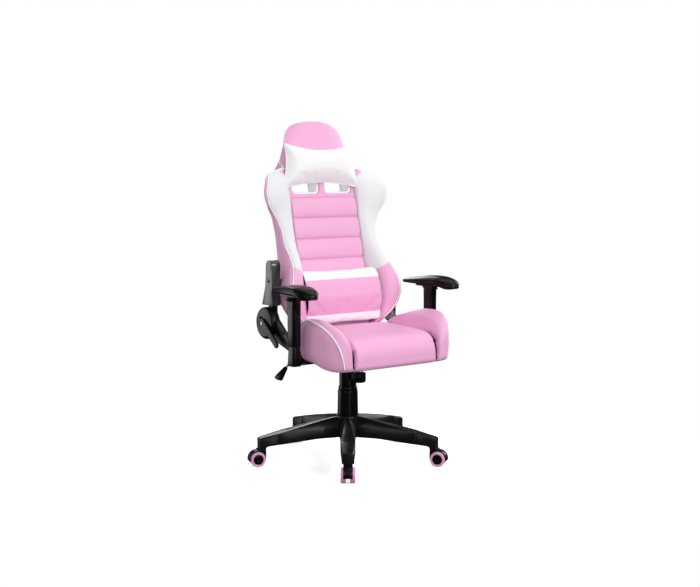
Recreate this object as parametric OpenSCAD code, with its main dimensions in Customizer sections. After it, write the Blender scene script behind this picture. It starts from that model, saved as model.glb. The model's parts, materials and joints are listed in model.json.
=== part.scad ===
// Racing-style gaming chair on a five-star caster base: gas lift, rocking
// mechanism, reclining back, height-adjustable arms and two loose cushions.
// Origin: on the floor under the column's axis. The sitter faces -Y, +Z is up.

/* [Base] */
// Distance from the column axis to each caster stem
stem_r = 333; // [325:1:341]
// Radius of the hub where the legs meet it, at its foot
hub_foot_r = 46; // [44:1:50]
// Height of the hub's top face
hub_top_z = 167; // [164:1:169]
// Height of the hub's lower edge
hub_bottom_z = 88; // [84:1:92]
// Height of a leg's top at its outer end
leg_end_z = 104; // [102:1:108]
// Height of the face that each caster turns against
foot_z = 65; // [64.9:0.1:66]
// Thickness of a leg's moulded walls
leg_wall = 4; // [3:0.5:5]
// Thickness of the shell that caps each leg's end
cap_wall = 2.5; // [2:0.5:3]

/* [Casters] */
// Diameter of a caster's twin wheels
wheel_d = 55; // [53:1:56]
// Width of one wheel
wheel_w = 18; // [16:1:18]
// Horizontal distance from the stem to the wheels' axle
trail = 17; // [15:1:19]
// Width of the hood over the wheels
hood_w = 33; // [30:1:35]
// Width of the caster's middle web between the wheels
web_w = 14; // [13:1:15]
// Diameter of the stem that plugs into the leg
stem_d = 11; // [10:0.5:11]
// Diameter of the wheels' axle
axle_d = 8; // [7:0.5:9]

/* [Column] */
// Diameter of the column's outer tube
tube_d = 50; // [49:0.5:51]
// Diameter of the gas cylinder
cylinder_d = 28; // [27:0.5:29]
// Diameter of the piston rod
rod_d = 10; // [9:0.5:11]
// Outer diameter of the lowest telescopic cover, at its foot
cover_foot_d = 79; // [78:1:82]
// Outer diameter of the lowest cover, at its top
cover_top_d = 74; // [73.6:0.2:75]
// Height of the lowest cover's top edge
cover_top_z = 263; // [260:1:266]
// Outer diameter of the middle cover's collar
collar_d = 70; // [69.8:0.2:70.2]
// Outer diameter of the upper cover
upper_d = 63.5; // [63:0.5:64]

/* [Mechanism] */
// Width of the pressed housing across its side walls
housing_w = 120; // [114:2:124]
// Thickness of the housing's sheet
sheet = 3; // [2:0.5:4]
// Height of the seat plate's upper face, where the seat frame sits
plate_top_z = 396; // [395:1:398]
// Thickness of the seat plate
plate_t = 4; // [3:0.5:5]
// Height of the axle that the seat rocks on
rock_z = 368; // [367:1:369]
// Distance of that axle in front of the column's axis
rock_y = 26; // [25:0.5:28]
// Diameter of the tension knob
knob_d = 54; // [50:1:54]
// Height of the tension knob
knob_h = 34; // [30:1:35]
// Distance of the knob in front of the column's axis
knob_y = 67; // [66:1:70]
// Diameter of the height lever's rod
lever_d = 8; // [7:0.5:9]

/* [Seat] */
// Overall width of the seat cushion
seat_w = 568; // [562:2:570]
// Height of the cushion's flat middle
seat_z = 496; // [490:1:500]
// Height of the side bolsters' crest
bolster_z = 568; // [560:1:574]
// Distance from the column's axis to the seat's front edge
seat_front = 300; // [294:1:306]
// Width between the creases beside the middle panel
crease_w = 376; // [366:2:384]
// Thickness of the seat's frame
frame_t = 12; // [10:1:14]

/* [Arms] */
// Distance from the middle plane to each arm's post
arm_x = 308.5; // [308:0.5:312]
// Distance of the posts in front of the column's axis
arm_y = 105; // [100:1:110]
// Height of the boot at the foot of each post
boot_h = 69; // [66:1:72]
// Height of the sliding sleeve's top
sleeve_top_z = 646; // [640:1:650]
// Length of an arm pad
pad_l = 268; // [256:2:276]
// Width of an arm pad
pad_w = 90; // [86:1:94]
// Angle by which the pads' fronts turn outwards
toe = 5.4; // [4:0.2:7]

/* [Back] */
// Lean of the back from upright
lean = 12.75; // [12:0.25:13.5]
// Height of the back above the seat's level, measured along it
back_h = 778; // [770:2:786]
// Width of the back at its shoulders
shoulder_w = 576; // [570:2:580]
// Width of the back at its waist
waist_w = 442; // [436:2:448]
// Width of the back across its lower bolsters
low_w = 534; // [528:2:538]
// Width of the back at its neck
neck_w = 274; // [266:2:282]
// Width of the padded middle panel
panel_w = 301; // [290:1:310]
// Thickness of the back behind its middle panel
back_t = 62; // [58:1:66]
// Height of the recline pivot
hinge_z = 527; // [525:1:529]
// Distance of the recline pivot behind the column's axis
hinge_y = 95; // [93:1:97]
// Diameter of the domed hinge cover
dome_d = 118; // [114:1:120]
// Thickness of the recliner's steel plates
hinge_t = 5; // [4:0.5:5]

/* [Hidden] */

$fn = 48;
fit = 0.05;              // radial clearance of a shaft that turns or slides
gap = 0.4;               // space between neighbours that move past each other
leg_step = 72;
first_leg = 90;          // one leg points straight back
wheel_r = wheel_d / 2;
wheel_gap = 1;           // wheel to web
leg_end_r = stem_r + 11; // outer face of a leg's cap
tube_r = tube_d / 2;
tube_bottom_z = 70;
tube_top_z = 285;
tube_wall = 2;
tube_floor_t = 3;
cyl_r = cylinder_d / 2;
cyl_bottom_z = 95;
cyl_top_z = 372;
cyl_wall = 3;
gland_t = 12;
socket_z = 340;          // where the cylinder's tapered seat starts
socket_drop = 1;         // taper of that seat on the radius
valve_d = 6;
housing_z = 337;         // underside of the housing round the column
axle_r = 6;
bolt_r = 5;
frame_z = plate_top_z;
pad_floor_z = frame_z + frame_t;
frame_w = 400;
frame_front = -230;
frame_rim = 20;          // steel left beside each window of the frame
plate_w = 200;
flange_x = housing_w / 2 + gap;
bush_r = 2.5;
lever_x = -50;           // pivot of the height lever
lever_z = 381;
seat_half = seat_w / 2;
back_y = 51.2;           // front plane of the back at the seat's level
back_z = 500;
// Inner face of the seat side's hinge plate, outside the seat and the back's flank
hinge_in = max(low_w / 2 - 3, seat_half - 20);
hinge_out = hinge_in + 36;
arm_in = hinge_in + hinge_t + 0.5;
black = [0.09, 0.09, 0.1];
steel = [0.16, 0.16, 0.17];
bright = [0.72, 0.73, 0.75];
pink = [0.93, 0.62, 0.82];
white = [0.96, 0.96, 0.97];

// ---- Helpers ----

// Points along an arc from angle a0 to a1
function arc(cx, cy, r, a0, a1, n = 8) =
    [for (i = [0:n]) let (a = a0 + (a1 - a0) * i / n)
        [cx + r * cos(a), cy + r * sin(a)]];

// Outline of a rectangle w by h with corner radius r, centred
function round_rect(w, h, r, n = 5) = concat(
    arc(w / 2 - r, h / 2 - r, r, 0, 90, n),
    arc(-w / 2 + r, h / 2 - r, r, 90, 180, n),
    arc(-w / 2 + r, -h / 2 + r, r, 180, 270, n),
    arc(w / 2 - r, -h / 2 + r, r, 270, 360, n));

// A half outline, from bottom centre to top centre, closed by its mirror image
function mirrored(half) = concat(half,
    [for (i = [len(half) - 1:-1:0]) if (half[i][0] > 0.01) [-half[i][0], half[i][1]]]);

// Skin through rings of 3-D points, with flat ends
module loft(rings) {
    n = len(rings[0]);
    m = len(rings);
    points = [for (ring = rings, p = ring) p];
    sides = [for (j = [0:m - 2], i = [0:n - 1])
        let (a = j * n + i, b = j * n + (i + 1) % n)
        each [[a, a + n, b], [b, a + n, b + n]]];
    polyhedron(points, concat([[for (i = [0:n - 1]) i]], sides,
        [[for (i = [n - 1:-1:0]) (m - 1) * n + i]]), convexity = 8);
}

module on_leg(k) rotate([0, 0, first_leg + leg_step * k]) children();

module ring(r_out, r_in, h) difference() {
    cylinder(r = r_out, h = h);
    translate([0, 0, -1]) cylinder(r = r_in, h = h + 2);
}

// Both sides of the chair: the given child and its mirror image
module pair() {
    children();
    mirror([1, 0, 0]) children();
}

// ---- Base ----

function leg_top(r) = leg_end_z
    + (hub_top_z - 1 - leg_end_z) * (1 - pow((r - 38) / (leg_end_r - 38), 1.12));
function leg_bevel(r) = lookup(r, [[38, 31], [100, 25], [160, 18], [215, 8],
    [250, 3.5], [280, 3.5], [345, 6]]);
function leg_top_w(r) = lookup(r, [[38, 4], [100, 9], [180, 18], [245, 24.5],
    [262, 25], [300, 20.5], [345, 16.5]]);
function leg_side_w(r) = lookup(r, [[20, 30], [48, 30], [100, 28], [245, 26.5],
    [345, 21.5]]);
function leg_bottom(r) = lookup(r, [[38, 94], [140, 89], [265, 78], [300, 75],
    [316, 73], [322, foot_z], [345, foot_z]]);

// Cross-section of a leg at radius r, drawn in by the amount inset
function leg_ring(r, inset, bottom) =
    let (t = leg_top_w(r) - inset * 0.8, s = leg_side_w(r) - inset,
         zt = leg_top(max(r, 38)) - inset, zs = zt - leg_bevel(r))
    [[r, s, bottom], [r, s, zs], [r, t, zt], [r, -t, zt], [r, -s, zs],
     [r, -s, bottom]];

leg_stations = [20, 60, 100, 140, 180, 215, 245, 262, 285, 300, 316, 322];

module leg_skin(from, to, inset, floor_drop = 0)
    loft([for (r = concat([from], [for (s = leg_stations) if (s > from && s < to) s],
            [to])) leg_ring(r, inset, leg_bottom(r) - floor_drop)]);

// Everything outwards of a chevron whose point faces the hub
module beyond_chevron() linear_extrude(height = 400)
    polygon([[262, 0], [276, 40], [400, 40], [400, -40], [276, -40]]);

// Bays that open a leg from below, leaving its walls and cross ribs
module leg_bays() for (bay = [[50, 96], [101, 150], [155, 204], [209, 252], [257, 310]])
    leg_skin(bay[0], bay[1], leg_wall, 10);

module base_star() color(black) difference() {
    union() {
        for (k = [0:4]) on_leg(k) {
            difference() {
                leg_skin(20, 300, 0);
                beyond_chevron();
            }
            leg_skin(240, leg_end_r - cap_wall, cap_wall);
            leg_rib();
        }
        translate([0, 0, hub_bottom_z])
            cylinder(r1 = hub_foot_r, r2 = hub_foot_r - 4, h = hub_top_z - hub_bottom_z);
    }
    for (k = [0:4]) on_leg(k) {
        difference() {
            leg_bays();
            leg_rib();
            translate([stem_r, 0, 0]) cylinder(r = 14, h = 200);
            cylinder(r = hub_foot_r + 2, h = 200);
        }
        translate([stem_r, 0, foot_z - 20]) cylinder(d = stem_d, h = 55);
    }
    hub_pockets();
    translate([0, 0, tube_bottom_z])
        cylinder(r1 = tube_r - 1, r2 = tube_r, h = hub_top_z - tube_bottom_z);
    translate([0, 0, hub_top_z - 0.01]) cylinder(r = tube_r, h = 5);
}

// Rib down the middle of a leg's open underside
module leg_rib() translate([40, -1.5, 84])
    cube([220, 3, 28]);

// Hollows in the hub's underside, between its inner sleeve and outer wall
module hub_pockets() difference() {
    translate([0, 0, hub_bottom_z - 1]) ring(hub_foot_r - 7, tube_r + 4, 66);
    for (k = [0:4]) on_leg(k) translate([0, -2, 0]) cube([60, 4, 200]);
}

module leg_end_caps() color(black) for (k = [0:4]) on_leg(k) difference() {
    intersection() {
        leg_skin(240, leg_end_r, 0);
        beyond_chevron();
    }
    leg_skin(230, leg_end_r - cap_wall, cap_wall, 20);
}

module caster_stems() color(bright) for (k = [0:4]) on_leg(k)
    translate([stem_r, 0, 0]) {
        translate([0, 0, 40]) cylinder(d = stem_d - 2, h = 4);
        translate([0, 0, 43.99]) cylinder(d = stem_d, h = foot_z + 35 - 44);
    }

// ---- Casters: x outwards from the column, on the floor ----

module caster_place(k) on_leg(k - 1) translate([stem_r, 0, 0]) children();

hood_top_z = 64.4;
hood_r = wheel_r + 5;
hood_in_r = wheel_r + 1.2;

module across(r, w) rotate([90, 0, 0]) cylinder(r = r, h = w, center = true);

module caster_hood() color(black) difference() {
    intersection() {
        union() {
            translate([trail, 0, wheel_r]) across(hood_r, hood_w);
            translate([-17, -hood_w / 2, 26]) cube([34, hood_w, hood_top_z - 26]);
        }
        // The hood is cut off level with the axle at the back of the wheels
        // and its neck is rounded where it meets the leg
        union() {
            translate([trail - 70, -20, 22]) cube([104, 40, 12]);
            translate([trail - 70, -20, 33]) cube([120, 40, 60]);
        }
        union() {
            cylinder(r = 17.5, h = 80);
            translate([0, -hood_w / 2, 0]) cube([60, hood_w, 80]);
        }
    }
    // Wells for the two wheels
    for (side = [-1, 1]) translate([trail, side * (web_w / 2 + 20), wheel_r])
        across(hood_in_r, 40);
    translate([0, 0, 38]) cylinder(r = stem_d / 2 + fit, h = 40);
    translate([trail, 0, wheel_r]) across(axle_d / 2, 60);
}

module caster_axle() color(bright) translate([trail, 0, wheel_r])
    across(axle_d / 2, web_w + 2 * wheel_gap + 2 * wheel_w - 8);

// One wheel, its hub side at y = 0 and its face outwards along +y
module wheel() rotate([-90, 0, 0]) difference() {
    rotate_extrude() polygon(concat(
        [[0, 0], [9, 0], [9, 2], [wheel_r - 7, 2], [wheel_r - 7, 0]],
        arc(wheel_r - 3, 3, 3, -90, 0, 4),
        arc(wheel_r - 3, wheel_w - 4, 3, 0, 70, 4),
        [[wheel_r - 8.5, wheel_w - 0.4], [wheel_r - 9, wheel_w - 2],
         [wheel_r - 10, wheel_w - 2]],
        [[wheel_r - 11, wheel_w - 0.8], [wheel_r - 16, wheel_w], [0, wheel_w]]));
    translate([0, 0, -1]) cylinder(r = axle_d / 2 + fit, h = wheel_w - 2);
}

module caster_wheel(side) color(black)
    translate([trail, side * (web_w / 2 + wheel_gap), wheel_r])
        mirror([0, side < 0 ? 1 : 0, 0]) wheel();

// ---- Column ----

module column_tube() color(steel) difference() {
    union() {
        translate([0, 0, tube_bottom_z])
            cylinder(r1 = tube_r - 1, r2 = tube_r, h = hub_top_z - tube_bottom_z);
        translate([0, 0, hub_top_z - 0.01]) cylinder(r = tube_r, h = tube_top_z - hub_top_z);
    }
    translate([0, 0, tube_bottom_z + tube_floor_t])
        cylinder(r = tube_r - tube_wall - 1, h = tube_top_z);
    translate([0, 0, hub_top_z]) cylinder(r = tube_r - tube_wall, h = tube_top_z);
    translate([0, 0, tube_bottom_z - 1]) cylinder(r = rod_d / 2 + fit, h = 10);
}

module column_bush() color(black) difference() {
    union() {
        translate([0, 0, tube_top_z - 70]) cylinder(r = tube_r - tube_wall, h = 70);
        translate([0, 0, tube_top_z]) cylinder(r = tube_r, h = 2);
    }
    translate([0, 0, tube_top_z - 71]) cylinder(r = cyl_r + fit, h = 80);
}

module thrust_bearing() color(bright)
    translate([0, 0, tube_bottom_z + tube_floor_t]) ring(15, rod_d / 2 + fit, 6);

module piston_rod() color(bright) {
    translate([0, 0, 62]) cylinder(d = rod_d, h = 140);
    translate([0, 0, 62]) cylinder(r = rod_d / 2 + 3, h = 3);
    translate([0, 0, tube_bottom_z + tube_floor_t + 6 + gap]) cylinder(r = 9, h = 5);
    translate([0, 0, 200]) cylinder(r = cyl_r - cyl_wall - fit, h = 15);
}

// The gas cylinder's outside, with its tapered top
module cylinder_skin(grow = 0) {
    translate([0, 0, cyl_bottom_z]) cylinder(r = cyl_r + grow, h = socket_z - cyl_bottom_z);
    translate([0, 0, socket_z - 0.01]) cylinder(r1 = cyl_r, r2 = cyl_r - socket_drop,
        h = cyl_top_z - socket_z);
}

module gas_cylinder() color(bright) difference() {
    cylinder_skin();
    translate([0, 0, cyl_bottom_z + gland_t])
        cylinder(r = cyl_r - cyl_wall, h = cyl_top_z - 18 - cyl_bottom_z - gland_t);
    translate([0, 0, cyl_bottom_z - 1]) cylinder(r = rod_d / 2 + fit, h = 20);
    translate([0, 0, cyl_top_z - 20]) cylinder(r = valve_d / 2 + fit, h = 30);
}

module valve_pin() color(bright)
    translate([0, 0, cyl_top_z - 14]) cylinder(d = valve_d, h = lever_z - lever_d / 2
        - 0.3 - cyl_top_z + 14);

module cover_lower() color(black) difference() {
    translate([0, 0, hub_top_z]) cylinder(d1 = cover_foot_d, d2 = cover_top_d,
        h = cover_top_z - hub_top_z);
    translate([0, 0, hub_top_z - 1]) cylinder(d1 = cover_foot_d - 4,
        d2 = collar_d + 2 * gap, h = cover_top_z - hub_top_z + 2);
}

module cover_middle() color(black) difference() {
    union() {
        translate([0, 0, hub_top_z + 23]) cylinder(d = collar_d - 0.4,
            h = cover_top_z - hub_top_z - 23);
        translate([0, 0, cover_top_z - 0.01]) cylinder(d = collar_d, h = 11);
        translate([0, 0, cover_top_z + 10.98]) cylinder(d1 = collar_d,
            d2 = upper_d + 4, h = 4);
    }
    translate([0, 0, hub_top_z]) cylinder(d = upper_d + 2 * gap + 0.2, h = 150);
}

module cover_upper() color(black)
    translate([0, 0, cover_top_z - 38]) ring(upper_d / 2, upper_d / 2 - 2,
        housing_z - cover_top_z + 38);

// ---- Mechanism ----

// Side view of the housing: y, z
pan_z = 356;             // underside of the housing in front, over the knob
housing_side = [[-98, pan_z], [-42, pan_z], [-36, housing_z], [42, housing_z],
    [92, 350], [92, 362], [-8, 386], [-98, 386]];
housing_inside = [[-98 + sheet, pan_z + sheet], [-42 + sheet, pan_z + sheet],
    [-36 + sheet, housing_z + sheet], [42 - 1, housing_z + sheet],
    [92 - sheet, 350 + sheet], [92 - sheet, 400], [-98 + sheet, 400]];

// A side-view outline pulled to width w across the chair
module across_chair(outline, w) rotate([90, 0, 90])
    translate([0, 0, -w / 2]) linear_extrude(height = w) polygon(outline);

module along_x(r, w) rotate([0, 90, 0]) cylinder(r = r, h = w, center = true);

module tilt_housing() color(steel) difference() {
    union() {
        difference() {
            across_chair(housing_side, housing_w);
            across_chair(housing_inside, housing_w - 2 * sheet);
        }
        translate([0, 0, housing_z]) cylinder(r = cyl_r + 4.5, h = cyl_top_z - 2 - housing_z);
        // Two lugs that carry the height lever's pin
        for (side = [-1, 1]) translate([-housing_w / 2 + sheet - 0.5,
                side * 11.5 - 1.5, lever_z - 40])
            cube([20, 3, 46]);
    }
    translate([0, 0, housing_z - 1]) cylinder(r = cyl_r, h = socket_z - housing_z + 1.01);
    translate([0, 0, socket_z - 0.01]) cylinder(r1 = cyl_r, r2 = cyl_r - socket_drop,
        h = cyl_top_z - socket_z);
    translate([0, -rock_y, rock_z]) along_x(axle_r, housing_w + 10);
    translate([0, -knob_y, pan_z - 1]) cylinder(r = bolt_r + 8, h = 30);
    translate([lever_x, 0, lever_z]) across(bush_r, 40);
    // Window for the height lever
    translate([-housing_w / 2 - 5, -7, lever_z - 8]) cube([14, 14, 30]);
}

module tilt_axle() color(bright)
    translate([0, -rock_y, rock_z]) along_x(axle_r, housing_w + 2 * (gap + sheet + 4));

module seat_plate() color(steel) difference() {
    union() {
        translate([-plate_w / 2, -120, plate_top_z - plate_t]) cube([plate_w, 250, plate_t]);
        pair() translate([flange_x, -rock_y - 20, rock_z - 12])
            cube([sheet, 33, plate_top_z - rock_z + 12 - plate_t + 0.01]);
    }
    translate([0, -rock_y, rock_z]) along_x(axle_r + fit, housing_w + 40);
    translate([0, -knob_y, plate_top_z - 16]) cylinder(r = bolt_r + fit, h = 30);
    // Window over the height lever, and openings that lighten the plate
    translate([-plate_w / 2 - 1, -10, plate_top_z - 16]) cube([plate_w / 2 - 35, 20, 30]);
    pair() translate([30, 20, plate_top_z - 16]) cube([40, 80, 30]);
    // Holes for the four screws into the frame
    pair() for (y = [-108, 118]) translate([85, y, plate_top_z - 16]) cylinder(r = 3.2, h = 30);
}

knob_z = 302;
spring_r = 15;
spring_wire = 4;
spring_z = knob_z + 14 + spring_wire / 2;
spring_rise = pan_z - spring_wire / 2 - spring_z;

module tension_knob() color(black) {
    translate([0, -knob_y, knob_z]) difference() {
        union() {
            cylinder(r1 = knob_d / 2 - 3, r2 = knob_d / 2, h = 4);
            translate([0, 0, 3.99]) cylinder(d = knob_d, h = knob_h - 4);
        }
        translate([0, 0, 14]) cylinder(r = spring_r + spring_wire + 1, h = knob_h);
        // Finger grooves round the rim
        for (a = [0:30:330]) rotate([0, 0, a]) translate([knob_d / 2 + 2, 0, -1])
            cylinder(r = 4, h = knob_h + 2, $fn = 24);
    }
    translate([0, -knob_y, knob_z + 10]) cylinder(r = bolt_r, h = plate_top_z - knob_z - 8);
    translate([0, -knob_y, plate_top_z + gap]) cylinder(r = bolt_r + 4, h = 5, $fn = 6);
}

// Compression spring between the knob's cup and the housing
spring_turns = 4.5;
module tension_spring() color(bright) translate([0, -knob_y, spring_z])
    loft([for (i = [0:spring_turns * 12]) let (a = i * 30)
        [for (b = [0:60:300]) let (r = spring_r + spring_wire / 2 * sin(b))
            [r * cos(a), r * sin(a),
             spring_wire / 2 * cos(b) + spring_rise * a / 360 / spring_turns]]]);

module lever_pin() color(bright) translate([lever_x, 0, lever_z]) across(bush_r, 26);

lever_bend = [-268, 0, lever_z];   // where the rod turns down to its grip
grip_angle = 42;
grip_start = 9;
function down_grip(t) = lever_bend - t * [sin(grip_angle), 0, cos(grip_angle)];

module rod_between(a, b, r) {
    d = b - a;
    translate(a) rotate([0, acos(d[2] / norm(d)), atan2(d[1], d[0])])
        cylinder(r = r, h = norm(d));
}

module lever_rod() color(bright) difference() {
    union() {
        rod_between(lever_bend, [4, 0, lever_z], lever_d / 2);
        translate(lever_bend) sphere(d = lever_d + 0.4);
        rod_between(lever_bend, down_grip(50), lever_d / 2);
        translate([lever_x, 0, lever_z]) across(7, 12);
    }
    translate([lever_x, 0, lever_z]) across(bush_r + fit, 30);
}

module lever_grip() color(black) difference() {
    translate(down_grip(grip_start)) rotate([0, 180 + grip_angle, 0])
        loft([for (t = [0, 3, 20, 40, 50, 53]) [for (p = round_rect(
            lookup(t, [[0, 11], [3, 14], [40, 18], [50, 18], [53, 12]]),
            lookup(t, [[0, 12], [3, 15], [40, 35], [50, 38], [53, 31]]),
            lookup(t, [[0, 4], [3, 6], [50, 7], [53, 4]]), 4)) [p[0], p[1], t]]]);
    rod_between(lever_bend, down_grip(50), lever_d / 2);
}

// ---- Seat ----

cross_y = -78;           // front edge of the bar that carries the hinge plates
cross_w = 56;
frame_rear = -14;        // the frame ends in front of the height lever
window_x = 110;
bracket_w = 42;
bracket_front = -arm_y - bracket_w / 2;
bracket_bolts = [frame_w / 2 - 55, frame_w / 2 - 15];

module seat_frame() color(steel) difference() {
    union() {
        translate([-frame_w / 2, frame_front, frame_z])
            cube([frame_w, frame_rear - frame_front, frame_t]);
        // Tongue over the mechanism, and a cross bar out to the hinge plates
        translate([-plate_w / 2, frame_rear - 6, frame_z]) cube([plate_w, 150, frame_t]);
        translate([-hinge_in, cross_y, frame_z]) cube([2 * hinge_in, cross_w, frame_t]);
    }
    // Windows ahead of the arm brackets, and holes for the brackets' bolts
    pair() translate([window_x, frame_front + 2 * frame_rim, frame_z - 1])
        cube([frame_w / 2 - frame_rim - window_x, bracket_front - frame_rim
            - frame_front - 2 * frame_rim, frame_t + 2]);
    pair() for (x = bracket_bolts) translate([x, -arm_y, frame_z - 1])
        cylinder(r = 3.5, h = frame_t + 2);
    translate([0, -knob_y, frame_z - 1]) cylinder(r = bolt_r + 7, h = frame_t + 2);
    pair() for (y = [-108, 118]) translate([85, y, frame_z - 1]) cylinder(r = 3, h = frame_t - 3);
}

function seat_half_w(y) = seat_half - lookup(y, [[-300, 90], [-296, 70], [-285, 48],
    [-265, 26], [-240, 8], [-205, 0], [-160, 0], [-100, 8], [-80, 21],
    [-66, 22.5], [0, 24], [30, 32], [44, 46]]);
function seat_crest(y) = bolster_z - lookup(y, [[-300, 127], [-296, 100], [-285, 76],
    [-265, 50], [-240, 29], [-205, 12], [-160, 0], [-100, 5], [-50, 20],
    [0, 44], [16, 56], [30, 70], [44, 96]]);
function seat_mid(y) = seat_z - lookup(y, [[-300, 58], [-296, 36], [-285, 18],
    [-265, 6], [-235, 0], [0, -6], [16, -1], [30, 10], [44, 30]]);
function seat_low(y) = lookup(y, [[-300, 418], [-296, 404], [-285, 390],
    [-265, 383], [-230, 386], [-150, 404], [-100, 408], [0, 410], [16, 416], [30, 430],
    [44, 452]]);

// Half of the seat's cross-section at y, from bottom centre to top centre
function seat_half_ring(y) =
    let (w = seat_half_w(y), zb = seat_crest(y), zc = seat_mid(y), zl = seat_low(y),
         cr = min(crease_w / 2, w - 14), k = min(1, (w - cr) / 96), h = zb - zl)
    [[0, zl], [w - 60, zl + 1], [w - 20, zl + 5], [w - 5, zl + h * 0.14],
     [w, zl + h * 0.34], [w, zl + h * 0.66], [w - 5, zl + h * 0.86],
     [w - 20 * k, zb - 1], [w - 42 * k, zb - (zb - zc) * 0.06],
     [w - 68 * k, zb - (zb - zc) * 0.34], [cr + 12 * k, zc + (zb - zc) * 0.2],
     [cr, zc - 7], [cr - 10, zc], [cr - 50, zc + 4], [0, zc + 6]];

seat_stations = [-300, -296, -285, -265, -240, -205, -160, -100, -80, -66, -20, 0, 16,
    30, 44];

module seat_pad() color(pink) difference() {
    loft([for (i = [len(seat_stations) - 1:-1:0]) let (y = seat_stations[i])
        [for (p = mirrored(seat_half_ring(y)))
            [p[0], y < -230 ? y - (seat_front - 300) : y, p[1]]]]);
    // Recess that the frame sits in
    translate([-frame_w / 2, frame_front, frame_z - 30])
        cube([frame_w, frame_rear - frame_front, frame_t + 30]);
    translate([-plate_w / 2, frame_rear - 6, frame_z - 30])
        cube([plate_w, 150, frame_t + 30]);
    translate([-hinge_out, cross_y, frame_z - 30])
        cube([2 * hinge_out, cross_w, frame_t + 30]);
}

// ---- Arms ----

bracket_t = 6;
bracket_z = frame_z - bracket_t;
boot_z = 397;

// Front view of a bar: x, z, flat under the frame, then up and out to the boot
module bracket_bar() translate([0, -arm_y + bracket_w / 2, 0]) rotate([90, 0, 0])
    linear_extrude(height = bracket_w) polygon([[frame_w / 2 - 80, bracket_z],
        [frame_w / 2 + 6, bracket_z], [frame_w / 2 + 26, bracket_z + 10],
        [arm_x + 8, bracket_z + 10], [arm_x + 8, bracket_z + 10 + bracket_t],
        [frame_w / 2 + 24, bracket_z + 10 + bracket_t],
        [frame_w / 2 + 4, bracket_z + bracket_t], [frame_w / 2 - 80, bracket_z + bracket_t]]);

module arm_brackets() color(steel) pair() difference() {
    bracket_bar();
    for (x = bracket_bolts) translate([x, -arm_y, bracket_z - 1]) cylinder(r = 3.5, h = 10);
}

sleeve_z = boot_z + boot_h;
trigger_z = sleeve_top_z - 15;
trigger_w = 16;
post_w = 22;
post_l = 32;

module arm_posts() color(black) pair() difference() {
    translate([arm_x, -arm_y, 0]) {
        loft([for (s = [[0, 34, 44, 10], [3, 36, 46, 11], [40, 32, 42, 10],
                        [boot_h - 4, 30, 40, 9], [boot_h - 0.5, 28, 38, 8]])
            [for (p = round_rect(s[1], s[2], s[3])) [p[0], p[1], boot_z + s[0]]]]);
        translate([0, 0, sleeve_z - 1]) linear_extrude(height = 120)
            polygon(round_rect(post_w, post_l, 6));
    }
    bracket_bar();
}

module arm_sleeve() color(black) difference() {
    union() {
        loft([for (s = [[sleeve_z, 31, 41, 9], [sleeve_z + 4, 34, 46, 11],
                        [sleeve_top_z - 60, 34, 48, 11], [sleeve_top_z - 14, 35, 50, 12],
                        [sleeve_top_z - 3, 40, 66, 14]])
            [for (p = round_rect(s[1], s[2], s[3])) [p[0], p[1], s[0]]]]);
        // Carrier plate under the pad
        translate([0, 0, sleeve_top_z - 3.01]) linear_extrude(height = 6)
            polygon(round_rect(56, 120, 14));
    }
    translate([0, 0, sleeve_z - 1]) linear_extrude(height = sleeve_top_z - sleeve_z - 8)
        polygon(round_rect(post_w + 2 * gap, post_l + 2 * gap, 6));
    // Pocket for the height trigger, and the holes for its pin
    translate([8, -trigger_w / 2 - gap, trigger_z - 7])
        cube([30, trigger_w + 2 * gap, 14]);
    translate([trigger_x, 0, trigger_z]) across(trigger_pin_r + fit, trigger_w + 10);
}

trigger_x = 15.5;        // the trigger's pivot in the sleeve
trigger_pin_r = 1.5;

// The trigger, with the stub pins that it turns on in the pocket's cheeks
module arm_trigger() color(black) {
    translate([0, trigger_w / 2, 0]) rotate([90, 0, 0]) linear_extrude(height = trigger_w)
        polygon([[12, trigger_z - 4], [22, trigger_z - 4], [34, trigger_z - 1],
            [34, trigger_z + 1.5], [22, trigger_z + 4], [12, trigger_z + 4]]);
    translate([trigger_x, 0, trigger_z]) across(trigger_pin_r, trigger_w + 8);
}

pad_z = sleeve_top_z + 3;

// Height of the pad's upper face and of its underside along its length
function pad_top(y) = pad_z + lookup(y, [[-134, 12], [-128, 19], [-100, 27], [-60, 35],
    [-10, 38], [50, 34], [100, 26], [126, 20], [134, 14]]);
function pad_under(y) = pad_z + lookup(y, [[-134, -2], [-128, -9], [-100, -7], [-60, 0],
    [60, 0], [100, 6], [126, 9], [134, 11]]);
function pad_half(y) = pad_w / 2 * lookup(y, [[-134, 0.55], [-128, 0.76], [-110, 0.93],
    [-70, 1], [0, 0.96], [70, 0.84], [110, 0.7], [126, 0.55], [134, 0.36]]);

module arm_pad() color(black) rotate([0, 0, toe]) scale([1, pad_l / 268, 1])
    loft([for (y = [134, 126, 110, 70, 0, -60, -100, -118, -128, -134])
        let (w = pad_half(y), b = pad_under(y), t = pad_top(y), h = t - b)
        [for (p = mirrored([[0, b], [w * 0.72, b + 0.4], [w * 0.94, b + h * 0.16],
            [w, b + h * 0.4], [w * 0.96, b + h * 0.64], [w * 0.8, b + h * 0.86],
            [w * 0.5, t - h * 0.02], [0, t]])) [p[0], y, p[1]]]]);

// Places an arm's part: side 1 is the sitter's left
module arm_place(side) translate([side * arm_x, -arm_y, 0])
    mirror([side < 0 ? 1 : 0, 0, 0]) children();

// ---- Recliner ----

// A side-view outline as a plate from x0 outwards
module side_plate(outline, x0, t) rotate([90, 0, 90]) translate([0, 0, x0])
    linear_extrude(height = t) polygon(outline);

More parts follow.
